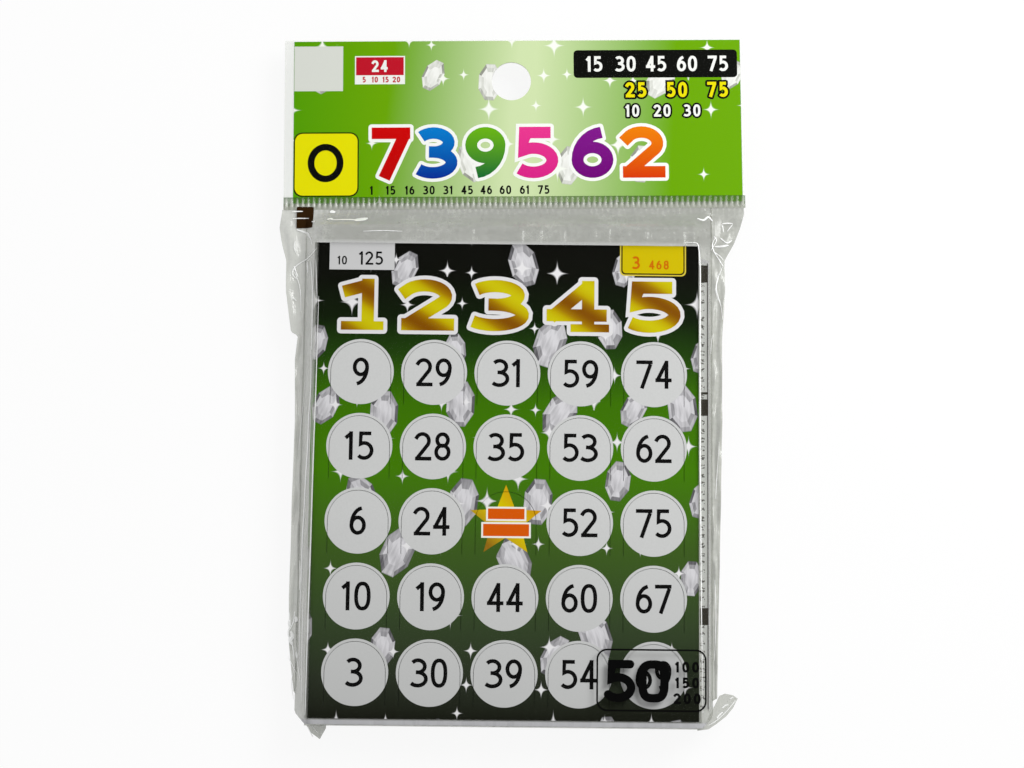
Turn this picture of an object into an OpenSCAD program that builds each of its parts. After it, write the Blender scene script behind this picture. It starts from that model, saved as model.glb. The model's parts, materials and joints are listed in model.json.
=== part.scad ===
// A pack of bingo cards in a clear film bag with a printed header card.
// The pack lies on its back: +Z is the way the cards face, +Y points at the header.
// Sizes are in millimetres. The origin is under the middle of the whole pack.

/* [Cards] */
// Width of a card
card_w = 95; // [85:1:110]
// Height of a card
card_h = 118; // [110:1:130]
// Thickness of one card
card_t = 0.22; // [0.18:0.01:0.26]
// Air between two cards of the stack
card_air = 0.02; // [0.01:0.005:0.03]
// Number of cards in the pack
card_count = 50; // [30:1:60]
// How far the upper cards lean out to the left of the front card
stack_lean = 0.9; // [0:0.1:1]
// How far single cards lie out of line
stack_jitter = 0.12; // [0:0.01:0.15]

/* [Windows] */
// Distance between two window columns
window_pitch_x = 18.2; // [17:0.1:20]
// Distance between two window rows
window_pitch_y = 18.55; // [17.5:0.05:20]
// Width of a window flap
window_w = 14.8; // [12:0.1:16]
// Distance from the middle of a number to its window's fold
window_fold = 8.2; // [7.5:0.1:9]
// Width of the die cut round a window flap
window_cut = 0.15; // [0.1:0.01:0.2]
// Distance from the card's middle down to the middle row
window_drop = 10.7; // [8:0.1:13]

/* [Insert leaf] */
// Thickness of the leaf under the cards
leaf_t = 0.2; // [0.1:0.01:0.3]
// Height of the leaf
leaf_h = 112; // [100:1:112]
// Length of the leaf's margin that the bag turns up
leaf_margin = 6.1; // [3:0.1:6.5]
// Slope of the turned-up margin
leaf_slope = 65; // [60:1:75]

/* [Film] */
// Thickness of the film
film_t = 0.1; // [0.05:0.01:0.12]
// Space between the front card and the film over it
window_room = 1.6; // [1.4:0.1:2.5]
// Space between the stack and the film under it
slide_gap = 0.3; // [0.2:0.05:0.5]
// Distance from the card's side to the film's shoulder
shoulder_gap = 0.6; // [0.5:0.1:1.2]
// Distance from the card's side to where front and back film meet
side_reach = 3.9; // [3.5:0.1:5]
// Space below the cards in the bag
bottom_gap = 1.5; // [1.2:0.1:3]
// Space above the cards before the film slopes down to the seal
top_gap = 4.1; // [3.5:0.1:5]
// Length of the film's slope down to the seal
roof_run = 5.6; // [5:0.1:8]
// Height of the bag's cut bottom corners
corner_h = 3; // [2:0.1:3.5]
// Widest reach of the flat side film past the line where the films meet
flare_w = 6.8; // [4:0.1:8]

/* [Header] */
// Width of the header film
header_film_w = 117; // [112:0.5:125]
// Height of the header from the seal's lower edge
header_h = 44.3; // [36:0.1:55]
// Width of the header card
header_card_w = 114; // [105:0.5:116]
// Thickness of the header card
header_card_t = 0.44; // [0.3:0.01:0.48]
// Shift of the header card to the right in its pocket
header_card_shift = 0.9; // [0:0.1:1.2]
// Film left above the header card
header_card_margin = 0.3; // [0.2:0.1:2]
// Turn of the header to the left, seen from the front
header_turn = 0.9; // [0:0.1:1.5]
// Shift of the header to the right of the cards
header_shift = 1.3; // [0:0.1:2]
// Diameter of the hang hole
hole_d = 10; // [8:0.1:12]
// Distance of the hang hole below the header's top edge
hole_drop = 11; // [9:0.1:16]
// Shift of the hang hole to the left
hole_shift = 0.6; // [0:0.1:2]

/* [Seal] */
// Height of the crimped seal
seal_h = 3.2; // [2.5:0.1:5]
// Length of the header card's edge inside the seal
seal_grip = 1.6; // [1:0.1:2]
// Distance between two crimp ribs
rib_pitch = 1.38; // [1.2:0.02:2]
// Half of the seal's thickness in a groove
rib_low = 0.28; // [0.26:0.01:0.32]
// Half of the seal's thickness on a rib
rib_high = 0.5; // [0.4:0.01:0.55]
// Space between the bag and the line on which the header bends
hinge_gap = 0.7; // [0.65:0.05:0.9]

/* [Closure] */
// Length of the closure flap on the back
flap_len = 35; // [25:1:45]
// Width of the closure flap at its fold
flap_w = 99; // [90:0.5:104]
// How much each side of the flap draws in
flap_taper = 3; // [0:0.1:6]
// Thickness of the adhesive
glue_t = 0.1; // [0.05:0.01:0.15]
// Height of the adhesive strip
glue_h = 9; // [6:0.5:12]
// Distance from the adhesive strip to the flap's free edge
glue_margin = 2; // [1:0.5:4]
// Clearance at the folds of the closure
fold_gap = 0.05; // [0.03:0.01:0.08]

/* [Film corners] */
// Width of the left film corner
left_ear_w = 4.9; // [3:0.1:7]
// Reach of the left film corner below the bag
left_ear_reach = 3.4; // [2:0.1:5]
// Reach of the right film corner past the line where the films meet
right_ear_reach = 6; // [4:0.1:8]
// Height of the right film corner
right_ear_h = 9; // [7:0.1:11]

/* [Hidden] */
$fn = 96;
overrun = 1;
rows = 5;
columns = 5;
single_cards = 10;

function window_name(row, column) = str("window_r", row, "c", column);
function card_name(n) = n < 10 ? str("card_0", n) : str("card_", n);

// Heights, from the surface that the pack lies on up to the front film
flap_z = film_t + glue_t;
leaf_z = flap_z + film_t + slide_gap;
stack_z = leaf_z + leaf_t + card_air;
card_pitch = card_t + card_air;
function card_z(n) = stack_z + (card_count - n) * card_pitch;
face_z = card_z(1) + card_t;
pack_t = face_z + window_room + film_t;
mid_z = pack_t / 2;

// Places in the plane of the cards, measured from the middle of the front card
shoulder_x = card_w / 2 + shoulder_gap;
tip_x = card_w / 2 + side_reach;
bottom_y = -card_h / 2 - bottom_gap;
flat_end_y = card_h / 2 + top_gap;
roof_end_y = flat_end_y + roof_run;
hinge_y = roof_end_y + hinge_gap;
corner_y = bottom_y + corner_h;
corner_x = tip_x - corner_h;
wall_y = bottom_y - film_t;
joggle_y = wall_y + flap_len + glue_margin;

// The bag's side slopes, seen along the bag
slope_run = tip_x - shoulder_x;
slope_rise = pack_t - mid_z;
slope_share = slope_run / slope_rise;
slope_skew_share = norm([slope_run, slope_rise]) / slope_rise;
roof_skew_share = norm([roof_run, slope_rise]) / slope_rise;
corner_skew_share = sqrt(2);

// Outline of the bag across its width, drawn in by a wall's thickness
function section(wall) =
    let (
        shoulder = shoulder_x + wall * slope_share - wall * slope_skew_share,
        tip = tip_x - wall * slope_skew_share
    )
    [[-shoulder, wall], [shoulder, wall], [tip, mid_z],
     [shoulder, pack_t - wall], [-shoulder, pack_t - wall], [-tip, mid_z]];

// Side view of the bag's floor, which steps up over the closure flap
function floor_profile(wall, low_y) =
    [[low_y, flap_z + wall], [joggle_y, flap_z + wall], [joggle_y + glue_margin, wall],
     [hinge_y + header_film_w, wall], [hinge_y + header_film_w, pack_t - wall],
     [low_y, pack_t - wall]];

// Side view of the bag's slopes at the seal, measured from the seal's line
function roof_profile(wall) =
    let (
        end_y = roof_end_y - hinge_y - wall * roof_skew_share,
        start_y = end_y - (slope_rise - wall) / slope_rise * roof_run,
        back_y = -card_h - card_w - header_film_w
    )
    [[back_y, wall], [start_y, wall], [end_y, mid_z], [start_y, pack_t - wall], [back_y, pack_t - wall]];

// Plan of the bag with its cut bottom corners, which run on below it for the hollow
function plan(wall, low_y) =
    let (cut_y = corner_y + wall * corner_skew_share, low_x = tip_x - cut_y + low_y)
    [[-tip_x, hinge_y + header_film_w], [-tip_x, cut_y], [-low_x, low_y],
     [low_x, low_y], [tip_x, cut_y], [tip_x, hinge_y + header_film_w]];

// Flat side film: share of flare_w past the tip, and share of half the card's height
left_edge_shares = [[0.87, 1.25], [0.87, 1.17], [0.99, 1.083], [0.88, 1.013], [0.71, 0.943],
    [0.68, 0.803], [0.46, 0.63], [0.2, 0.614], [0.29, 0.51], [0.23, 0.253], [0.27, -0.088],
    [0.29, -0.493], [0.25, -0.693], [0.05, -0.892]];
right_edge_shares = [[1.1, 1.25], [1.19, 1.166], [1.03, 1.1], [0.81, 1.034], [0.47, 0.963],
    [0.47, 0.824], [0.35, 0.615], [0.35, 0.271], [0.3, -0.07], [0.22, -0.473], [0.18, -0.673],
    [0.14, -0.86]];

// Film corners: shares of their width and of their reach or height
left_ear_shares = [[0, 0], [1, 0], [1, 0.2], [0.7, 1], [0.28, 0.56]];
right_ear_shares = [[-0.1, 0], [-0.1, -0.04], [0.2, 0], [0.4, 0.13], [0.69, 0.36], [0.87, 0.58],
    [1, 0.84], [0.87, 0.93], [0.65, 0.97], [0.5, 0.91], [0.41, 0.72], [0.03, 0]];

// Colours as the photograph shows them
film_colour = [0.78, 0.8, 0.78];
header_colour = [0.42, 0.68, 0.1];
card_colour = [0.1, 0.22, 0.06];
window_colour = [0.86, 0.86, 0.88];
leaf_colour = [0.85, 0.85, 0.82];
glue_colour = [0.9, 0.88, 0.75];

// The whole pack's reach, for an origin under its middle
function header_place(p) =
    [header_shift + p[0] * cos(header_turn) - p[1] * sin(header_turn),
     hinge_y + p[0] * sin(header_turn) + p[1] * cos(header_turn)];
header_corners = [for (x = [-header_film_w / 2, header_film_w / 2], y = [0, header_h]) header_place([x, y])];
left_reach = tip_x + flare_w * max([for (p = left_edge_shares) p[0]]);
right_reach = tip_x + flare_w * max([for (p = right_edge_shares) p[0]]);
ear_reach = tip_x + right_ear_reach;
low_x = min(-left_reach, min([for (p = header_corners) p[0]]));
high_x = max(ear_reach, right_reach, max([for (p = header_corners) p[0]]));
low_y = wall_y - left_ear_reach;
high_y = max([for (p = header_corners) p[1]]);
pack_shift = [-(low_x + high_x) / 2, -(low_y + high_y) / 2, 0];

// Moves what is drawn from the middle of the front card to the pack's origin
module placed() {
    translate(pack_shift) children();
}

// Moves what is drawn from the seal's lower edge to the header's place
module on_header() {
    placed() translate([header_shift, hinge_y, mid_z]) rotate([0, 0, header_turn]) children();
}

// Stands a drawing of X and Z up and runs it along Y
module run_along_y(from_y, to_y) {
    translate([0, to_y, 0]) rotate([90, 0, 0]) linear_extrude(to_y - from_y) children();
}

// Stands a drawing of Y and Z up and runs it across X
module run_across_x(width) {
    rotate([90, 0, 90]) linear_extrude(width, center = true) children();
}

// The bag's volume, drawn in by a wall and open or closed at its low end
module bag_volume(wall, low_y) {
    intersection() {
        run_along_y(low_y, hinge_y + header_film_w) polygon(section(wall));
        run_across_x(header_film_w + header_film_w) polygon(floor_profile(wall, low_y));
        translate([header_shift, hinge_y, 0]) rotate([0, 0, header_turn])
            run_across_x(header_film_w + header_film_w) polygon(roof_profile(wall));
        linear_extrude(pack_t) polygon(plan(wall, low_y));
    }
}

module bag_shell() {
    difference() {
        bag_volume(0, bottom_y + fold_gap);
        bag_volume(film_t, bottom_y - overrun);
    }
}

// A slab as wide and long as the bag, for cutting its halves apart
module bag_half(from_z, to_z) {
    translate([-tip_x - overrun, bottom_y - overrun, from_z])
        cube([tip_x + tip_x + overrun + overrun, hinge_y - bottom_y + overrun + overrun, to_z - from_z]);
}

module bag_front_film() {
    color(film_colour) placed() intersection() {
        bag_shell();
        bag_half(mid_z + film_t, pack_t + overrun);
    }
}

module bag_back_film() {
    color(film_colour) placed() intersection() {
        bag_shell();
        bag_half(-overrun, mid_z - film_t);
    }
}

// Everything below the line on which the header bends
module below_seal() {
    translate([header_shift, hinge_y - hinge_gap]) rotate(header_turn)
        translate([-header_film_w, -header_film_w - card_h - card_w])
            square([header_film_w + header_film_w, header_film_w + card_h + card_w]);
}

// Flat double film beside the stack; side is -1 on the left and 1 on the right
module side_seam(side, edge_shares) {
    last = edge_shares[len(edge_shares) - 1];
    inner = tip_x - film_t * slope_skew_share;
    color(film_colour) placed() translate([0, 0, mid_z - film_t]) linear_extrude(film_t + film_t)
        intersection() {
            below_seal();
            polygon(concat(
                [for (p = edge_shares) [side * (tip_x + flare_w * p[0]), card_h / 2 * p[1]]],
                [[side * inner, card_h / 2 * last[1]],
                 [side * inner, card_h / 2 * edge_shares[0][1]]]
            ));
        }
}

module left_side_seam() {
    side_seam(-1, left_edge_shares);
}

module right_side_seam() {
    side_seam(1, right_edge_shares);
}

// Folded film corners, which swing with the closure's wall
module left_ear() {
    color(film_colour) placed() translate([-corner_x, wall_y, mid_z - film_t])
        linear_extrude(film_t + film_t)
            polygon([for (p = left_ear_shares) [left_ear_w * p[0], -left_ear_reach * p[1]]]);
}

module right_ear() {
    ear_w = tip_x - corner_x + right_ear_reach;
    color(film_colour) placed() translate([corner_x, wall_y, mid_z - film_t])
        linear_extrude(film_t + film_t)
            polygon([for (p = right_ear_shares) [ear_w * p[0], right_ear_h * p[1]]]);
}

// Film that passes round the bottom edge of the stack
module closure_wall() {
    color(film_colour) placed() run_along_y(wall_y, bottom_y) intersection() {
        polygon(section(0));
        translate([-corner_x, film_t + fold_gap])
            square([corner_x + corner_x, pack_t - film_t - fold_gap]);
    }
}

// Flap that is folded onto the back, with the adhesive strip on its inside
module closure_flap() {
    fold = flap_w / 2;
    free = fold - flap_taper;
    color(film_colour) placed() linear_extrude(film_t)
        polygon([[-fold, wall_y], [fold, wall_y], [free, wall_y + flap_len], [-free, wall_y + flap_len]]);
}

module adhesive_strip() {
    strip_w = flap_w - flap_taper * 4;
    color(glue_colour) placed()
        translate([-strip_w / 2, wall_y + flap_len - glue_margin - glue_h, film_t])
            cube([strip_w, glue_h, glue_t]);
}

// Round hole through every layer of the header
module hang_hole() {
    translate([-hole_shift, header_h - hole_drop, -overrun])
        cylinder(d = hole_d, h = overrun + overrun);
}

// One film of the header pocket, from its lower face up
module header_film(from_z) {
    color(film_colour) on_header() difference() {
        translate([-header_film_w / 2, seal_h, from_z])
            cube([header_film_w, header_h - seal_h, film_t]);
        hang_hole();
    }
}

module header_front_film() {
    header_film(header_card_t / 2);
}

module header_back_film() {
    header_film(-header_card_t / 2 - film_t);
}

module header_card() {
    color(header_colour) on_header() difference() {
        header_card_blank();
        hang_hole();
    }
}

module header_card_blank() {
    translate([header_card_shift - header_card_w / 2, seal_h - seal_grip, -header_card_t / 2])
        cube([header_card_w, header_h - header_card_margin - seal_h + seal_grip, header_card_t]);
}

// Crimped seal: grooves and ribs on both faces, with a pocket for the header card's edge
module rib_seal() {
    rib_count = floor(header_film_w / rib_pitch);
    pitch = header_film_w / rib_count;
    steps = [0 : rib_count + rib_count];
    function place(i) = -header_film_w / 2 + i * pitch / 2;
    function height(i) = i % 2 == 0 ? rib_low : rib_high;
    upper = [for (i = steps) [place(i), height(i)]];
    lower = [for (i = steps) [-place(i), -height(i)]];
    color(film_colour) on_header() difference() {
        run_along_y(0, seal_h) polygon(concat(upper, lower));
        header_card_blank();
    }
}

// White leaf under the cards; the bag's slope turns its right margin up
module insert_leaf() {
    color(leaf_colour) placed() run_along_y(-leaf_h / 2, leaf_h / 2) {
        translate([-card_w / 2, leaf_z]) square([card_w + slide_gap, leaf_t]);
        translate([card_w / 2 + slide_gap, leaf_z]) rotate(leaf_slope) square([leaf_margin, leaf_t]);
    }
}

// A window's outline about its number: an arch that stands on its fold
module arch(grow) {
    circle(d = window_w + grow + grow);
    translate([-window_w / 2 - grow, -window_fold - grow])
        square([window_w + grow + grow, window_fold + grow]);
}

// Middle of a window; row 1 is at the top and column 1 at the left
function window_place(row, column) =
    [(column - (columns + 1) / 2) * window_pitch_x,
     ((rows + 1) / 2 - row) * window_pitch_y - window_drop];

module front_card() {
    color(card_colour) placed() translate([0, 0, card_z(1)]) linear_extrude(card_t) difference() {
        square([card_w, card_h], center = true);
        for (row = [1 : rows], column = [1 : columns])
            translate(window_place(row, column)) arch(window_cut);
    }
}

module window(row, column) {
    color(window_colour) placed() translate([0, 0, card_z(1)])
        translate(window_place(row, column)) linear_extrude(card_t) arch(0);
}

// A card of the stack; the stack leans a little and its cards lie out of line
function lean(n) = -stack_lean * (card_count - n) / (card_count - 2) + stack_jitter * sin(n * 137);
function creep(n) = stack_jitter * (1 + sin(n * 99));

module inner_card(n) {
    color(card_colour) placed() translate([lean(n), creep(n), card_z(n)])
        translate([-card_w / 2, -card_h / 2, 0]) cube([card_w, card_h, card_t]);
}

module lower_cards() {
    for (n = [single_cards + 1 : card_count]) inner_card(n);
}

header_card();
header_front_film();
header_back_film();
rib_seal();
bag_front_film();
bag_back_film();
left_side_seam();
right_side_seam();
left_ear();
right_ear();
closure_wall();
closure_flap();
adhesive_strip();
insert_leaf();
front_card();
for (row = [1 : rows], column = [1 : columns])
    window(row, column);
for (n = [2 : single_cards])
    inner_card(n);
lower_cards();
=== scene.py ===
"""Looks of a pack of bingo cards: printed cards and header board in a clear, creased film bag."""
import json
import math

import bmesh
import bpy
from mathutils import Matrix, Vector, noise


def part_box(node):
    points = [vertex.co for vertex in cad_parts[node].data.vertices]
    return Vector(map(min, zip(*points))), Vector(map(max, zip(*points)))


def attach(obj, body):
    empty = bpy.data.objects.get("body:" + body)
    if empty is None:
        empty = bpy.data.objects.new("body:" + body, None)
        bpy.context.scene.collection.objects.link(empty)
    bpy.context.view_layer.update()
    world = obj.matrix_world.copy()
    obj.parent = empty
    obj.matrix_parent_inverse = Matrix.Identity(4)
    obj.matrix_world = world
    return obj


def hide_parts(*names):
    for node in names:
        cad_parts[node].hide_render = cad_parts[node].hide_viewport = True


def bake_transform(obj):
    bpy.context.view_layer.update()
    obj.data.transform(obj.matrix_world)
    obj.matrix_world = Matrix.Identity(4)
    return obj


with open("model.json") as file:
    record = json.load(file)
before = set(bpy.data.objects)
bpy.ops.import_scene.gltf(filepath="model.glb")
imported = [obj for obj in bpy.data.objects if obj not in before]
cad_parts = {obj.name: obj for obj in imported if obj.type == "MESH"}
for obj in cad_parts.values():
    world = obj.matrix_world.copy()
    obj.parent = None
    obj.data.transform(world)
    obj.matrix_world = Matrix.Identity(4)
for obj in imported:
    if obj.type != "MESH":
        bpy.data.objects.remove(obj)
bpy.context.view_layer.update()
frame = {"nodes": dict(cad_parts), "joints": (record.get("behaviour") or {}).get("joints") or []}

bl_info = {
    "name": "Bingo card pack",
    "version": (1, 0, 0),
    "blender": (4, 5, 0),
    "location": "3D View > Sidebar > Bingo pack",
    "description": "Dresses the frame of a bingo card pack with prints, paper and clear film",
    "category": "Object",
}

MM = 0.001
ROWS = 5
COLUMNS = 5

# How strongly printed ink mirrors light
INK_GLOSS = 0.03

# The leaf's margin as it is seen beside the cards: its edges across, its ends, and its dark blocks with
# the middle and half height of each
MARGIN_INNER_X = 48.0
MARGIN_OUTER_X = 50.4
MARGIN_END_Y = 56.0
MARGIN_BLOCKS = [(53.3, 2.2), (19.2, 2.1), (22.8, 0.3), (-33.0, 2.1)]

# The crimped seal, and the board and the films of the header above it
HEADER_FILM_W = 117
HEADER_FILM_TOP = 44.3
RIBS = 84
RIB_PITCH = HEADER_FILM_W / RIBS
SEAL_H = 3.2
BOARD_LEFT, BOARD_RIGHT, BOARD_TOP = -56.1, 57.9, 44.0
HOLE_X, HOLE_Y, HOLE_R = -0.6, 33.3, 5.0
POCKET_Z = 0.31

# How far the prints and the creases lie over the film, and the height of a ridge for its half width
MARK_LIFT = 0.13
GLINT_LIFT = 0.14
CREASE_LIFT = 0.18
PRINT_LIFT = 0.1
RIDGE_SHARE = 0.3

# Foot and height of the title's numerals
TITLE_LOW = 7.9
TITLE_H = 13.4

# The film's section across the bag: flat to the bend, then down to where front and back meet
BEND_X = 46.0
BEND_PULL_X = 48.3
# How much fuller the back film's section is than the front's, to clear the leaf
BACK_FULLNESS = 1.6
SEAL_HALF_T = 0.3
ROOF_START_Y = 62.0
CORNER_START_Y = -57.5

# Numbers on the top card; the middle window has none
NUMBERS = [
    ["9", "29", "31", "59", "74"],
    ["15", "28", "35", "53", "62"],
    ["6", "24", "", "52", "75"],
    ["10", "19", "44", "60", "67"],
    ["3", "30", "39", "54", "69"],
]

# Places that the frame gives, in millimetres where they are plain numbers
card_low, card_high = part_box("front_card")
card_middle = (card_low + card_high) / 2
card_w = (card_high.x - card_low.x) / MM
card_h = (card_high.y - card_low.y) / MM
face_z = card_high.z / MM
film_top_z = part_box("bag_front_film")[1].z / MM
film_mid_z = film_top_z / 2
film_low, film_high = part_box("bag_front_film")
tip_x = (film_high.x - film_low.x) / 2 / MM
wall_y = (film_low.y - card_middle.y) / MM
floor_step_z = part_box("adhesive_strip")[1].z / MM
flap_end_y = (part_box("closure_flap")[1].y - card_middle.y) / MM
bend = next(joint for joint in frame["joints"] if joint["name"] == "header_bend")
header_origin = Vector(bend["pos_m"])
header_right = Vector(bend["axis"]).normalized()
header_up = Vector((0, 0, 1)).cross(header_right)
header_turn = math.atan2(header_right.y, header_right.x)
header_card_t = (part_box("header_card")[1].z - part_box("header_card")[0].z) / MM
header_x = (header_origin.x - card_middle.x) / MM
header_y = (header_origin.y - card_middle.y) / MM


def window_middle(row, column):
    """Middle of a window's number, from the middle of the front card."""
    low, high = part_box(f"window_r{row}c{column}")
    middle_x = (low.x + high.x) / 2 - card_middle.x
    radius = (high.x - low.x) / 2
    return middle_x / MM, (high.y - radius - card_middle.y) / MM


window_pitch_x = window_middle(1, 2)[0] - window_middle(1, 1)[0]
window_pitch_y = window_middle(1, 1)[1] - window_middle(2, 1)[1]
window_drop = -window_middle(3, 3)[1]


def on_card(point):
    """Place in metres of a point in millimetres from the middle of the front card."""
    return Vector((card_middle.x + point[0] * MM, card_middle.y + point[1] * MM, point[2] * MM))


def on_header(point):
    """Place in metres of a point in millimetres from the header's lower edge and middle layer."""
    across = header_right * (point[0] * MM)
    return header_origin + across + header_up * (point[1] * MM) + Vector((0, 0, point[2] * MM))


def tint(red, green, blue):
    """Linear colour of a screen colour from 0 to 255."""
    def linear(level):
        share = level / 255
        return share / 12.92 if share <= 0.04045 else ((share + 0.055) / 1.055) ** 2.4
    return (linear(red), linear(green), linear(blue), 1.0)


def smooth_share(value, start, end):
    """Share from 0 at start to 1 at end, eased at both ends."""
    share = min(1.0, max(0.0, (value - start) / (end - start)))
    return share * share * (3 - 2 * share)


class FilmSizes(bpy.types.PropertyGroup):
    """Sizes and colours of the clear film."""
    rib_height: bpy.props.FloatProperty(
        name="Rib height", description="Height of the ribs of the crimped seal", default=0.00022,
        unit="LENGTH")
    crease_height: bpy.props.FloatProperty(
        name="Crease height", description="Height of the creases beside the cards", default=0.0005,
        unit="LENGTH")
    haze: bpy.props.FloatProperty(
        name="Haze", description="Opacity of the film over the cards", default=0.003, min=0, max=1,
        subtype="FACTOR")
    side_haze: bpy.props.FloatProperty(
        name="Side haze", description="Opacity of the film beside the cards", default=0.55, min=0, max=1,
        subtype="FACTOR")


class PrintSizes(bpy.types.PropertyGroup):
    """Sizes and colours of what is printed on the cards and the header."""
    disc_w: bpy.props.FloatProperty(
        name="Disc width", description="Width of the white disc under a number", default=0.01635,
        unit="LENGTH")
    digit_h: bpy.props.FloatProperty(
        name="Digit height", description="Height of a number on a disc", default=0.00707, unit="LENGTH")
    digit_stroke: bpy.props.FloatProperty(
        name="Digit stroke", description="Width of a number's strokes", default=0.00093, unit="LENGTH")
    layer_gap: bpy.props.FloatProperty(
        name="Layer gap", description="Height of each printed layer over the one below", default=0.00002,
        unit="LENGTH")
    header_green: bpy.props.FloatVectorProperty(
        name="Header green", description="Green of the header's ends", size=4, subtype="COLOR",
        default=tint(101, 159, 0))
    header_pale: bpy.props.FloatVectorProperty(
        name="Header pale green", description="Pale green of the header's middle", size=4, subtype="COLOR",
        default=tint(198, 216, 166))
    disc_white: bpy.props.FloatVectorProperty(
        name="Disc white", description="White of the discs", size=4, subtype="COLOR",
        default=tint(198, 199, 198))
    ink_black: bpy.props.FloatVectorProperty(
        name="Ink black", description="Black of the numbers", size=4, subtype="COLOR",
        default=tint(9, 9, 9))


class StageSizes(bpy.types.PropertyGroup):
    """The camera, the floor and the light."""
    elevation: bpy.props.FloatProperty(
        name="Elevation", description="Angle of the camera over the cards", default=math.radians(81.2018516),
        subtype="ANGLE")
    distance: bpy.props.FloatProperty(
        name="Distance", description="Distance of the camera from the cards", default=0.6, unit="LENGTH")
    lens: bpy.props.FloatProperty(
        name="Lens", description="Focal length of the camera in millimetres", default=84.98)
    turn: bpy.props.FloatProperty(
        name="Turn", description="Turn of the camera about the upright", default=math.radians(0.6115),
        subtype="ANGLE")


class Value:
    """A socket of a finish; arithmetic on it adds Math nodes."""

    def __init__(self, finish, socket):
        self.finish = finish
        self.socket = socket

    def __add__(self, other):
        return self.finish.maths("ADD", self, other)

    __radd__ = __add__

    def __mul__(self, other):
        return self.finish.maths("MULTIPLY", self, other)

    __rmul__ = __mul__

    def __sub__(self, other):
        return self.finish.maths("SUBTRACT", self, other)

    def __rsub__(self, other):
        return self.finish.maths("SUBTRACT", other, self)

    def __truediv__(self, other):
        return self.finish.maths("DIVIDE", self, other)

    def __rtruediv__(self, other):
        return self.finish.maths("DIVIDE", other, self)

    def __pow__(self, other):
        return self.finish.maths("POWER", self, other)

    def __neg__(self):
        return self.finish.maths("MULTIPLY", self, -1.0)

    def __abs__(self):
        return self.finish.maths("ABSOLUTE", self)

    def over(self, limit):
        """1 where the value is over the limit."""
        return self.finish.maths("GREATER_THAN", self, limit)

    def under(self, limit, soft=0.06):
        """1 where the value is under the limit, with an edge as wide as soft."""
        return self.finish.clamped(0.5 + (limit - self) * (1 / soft))

    def rise(self, start, end):
        """Share from 0 at start to 1 at end."""
        return self.finish.clamped((self - start) * (1 / (end - start)))


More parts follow.
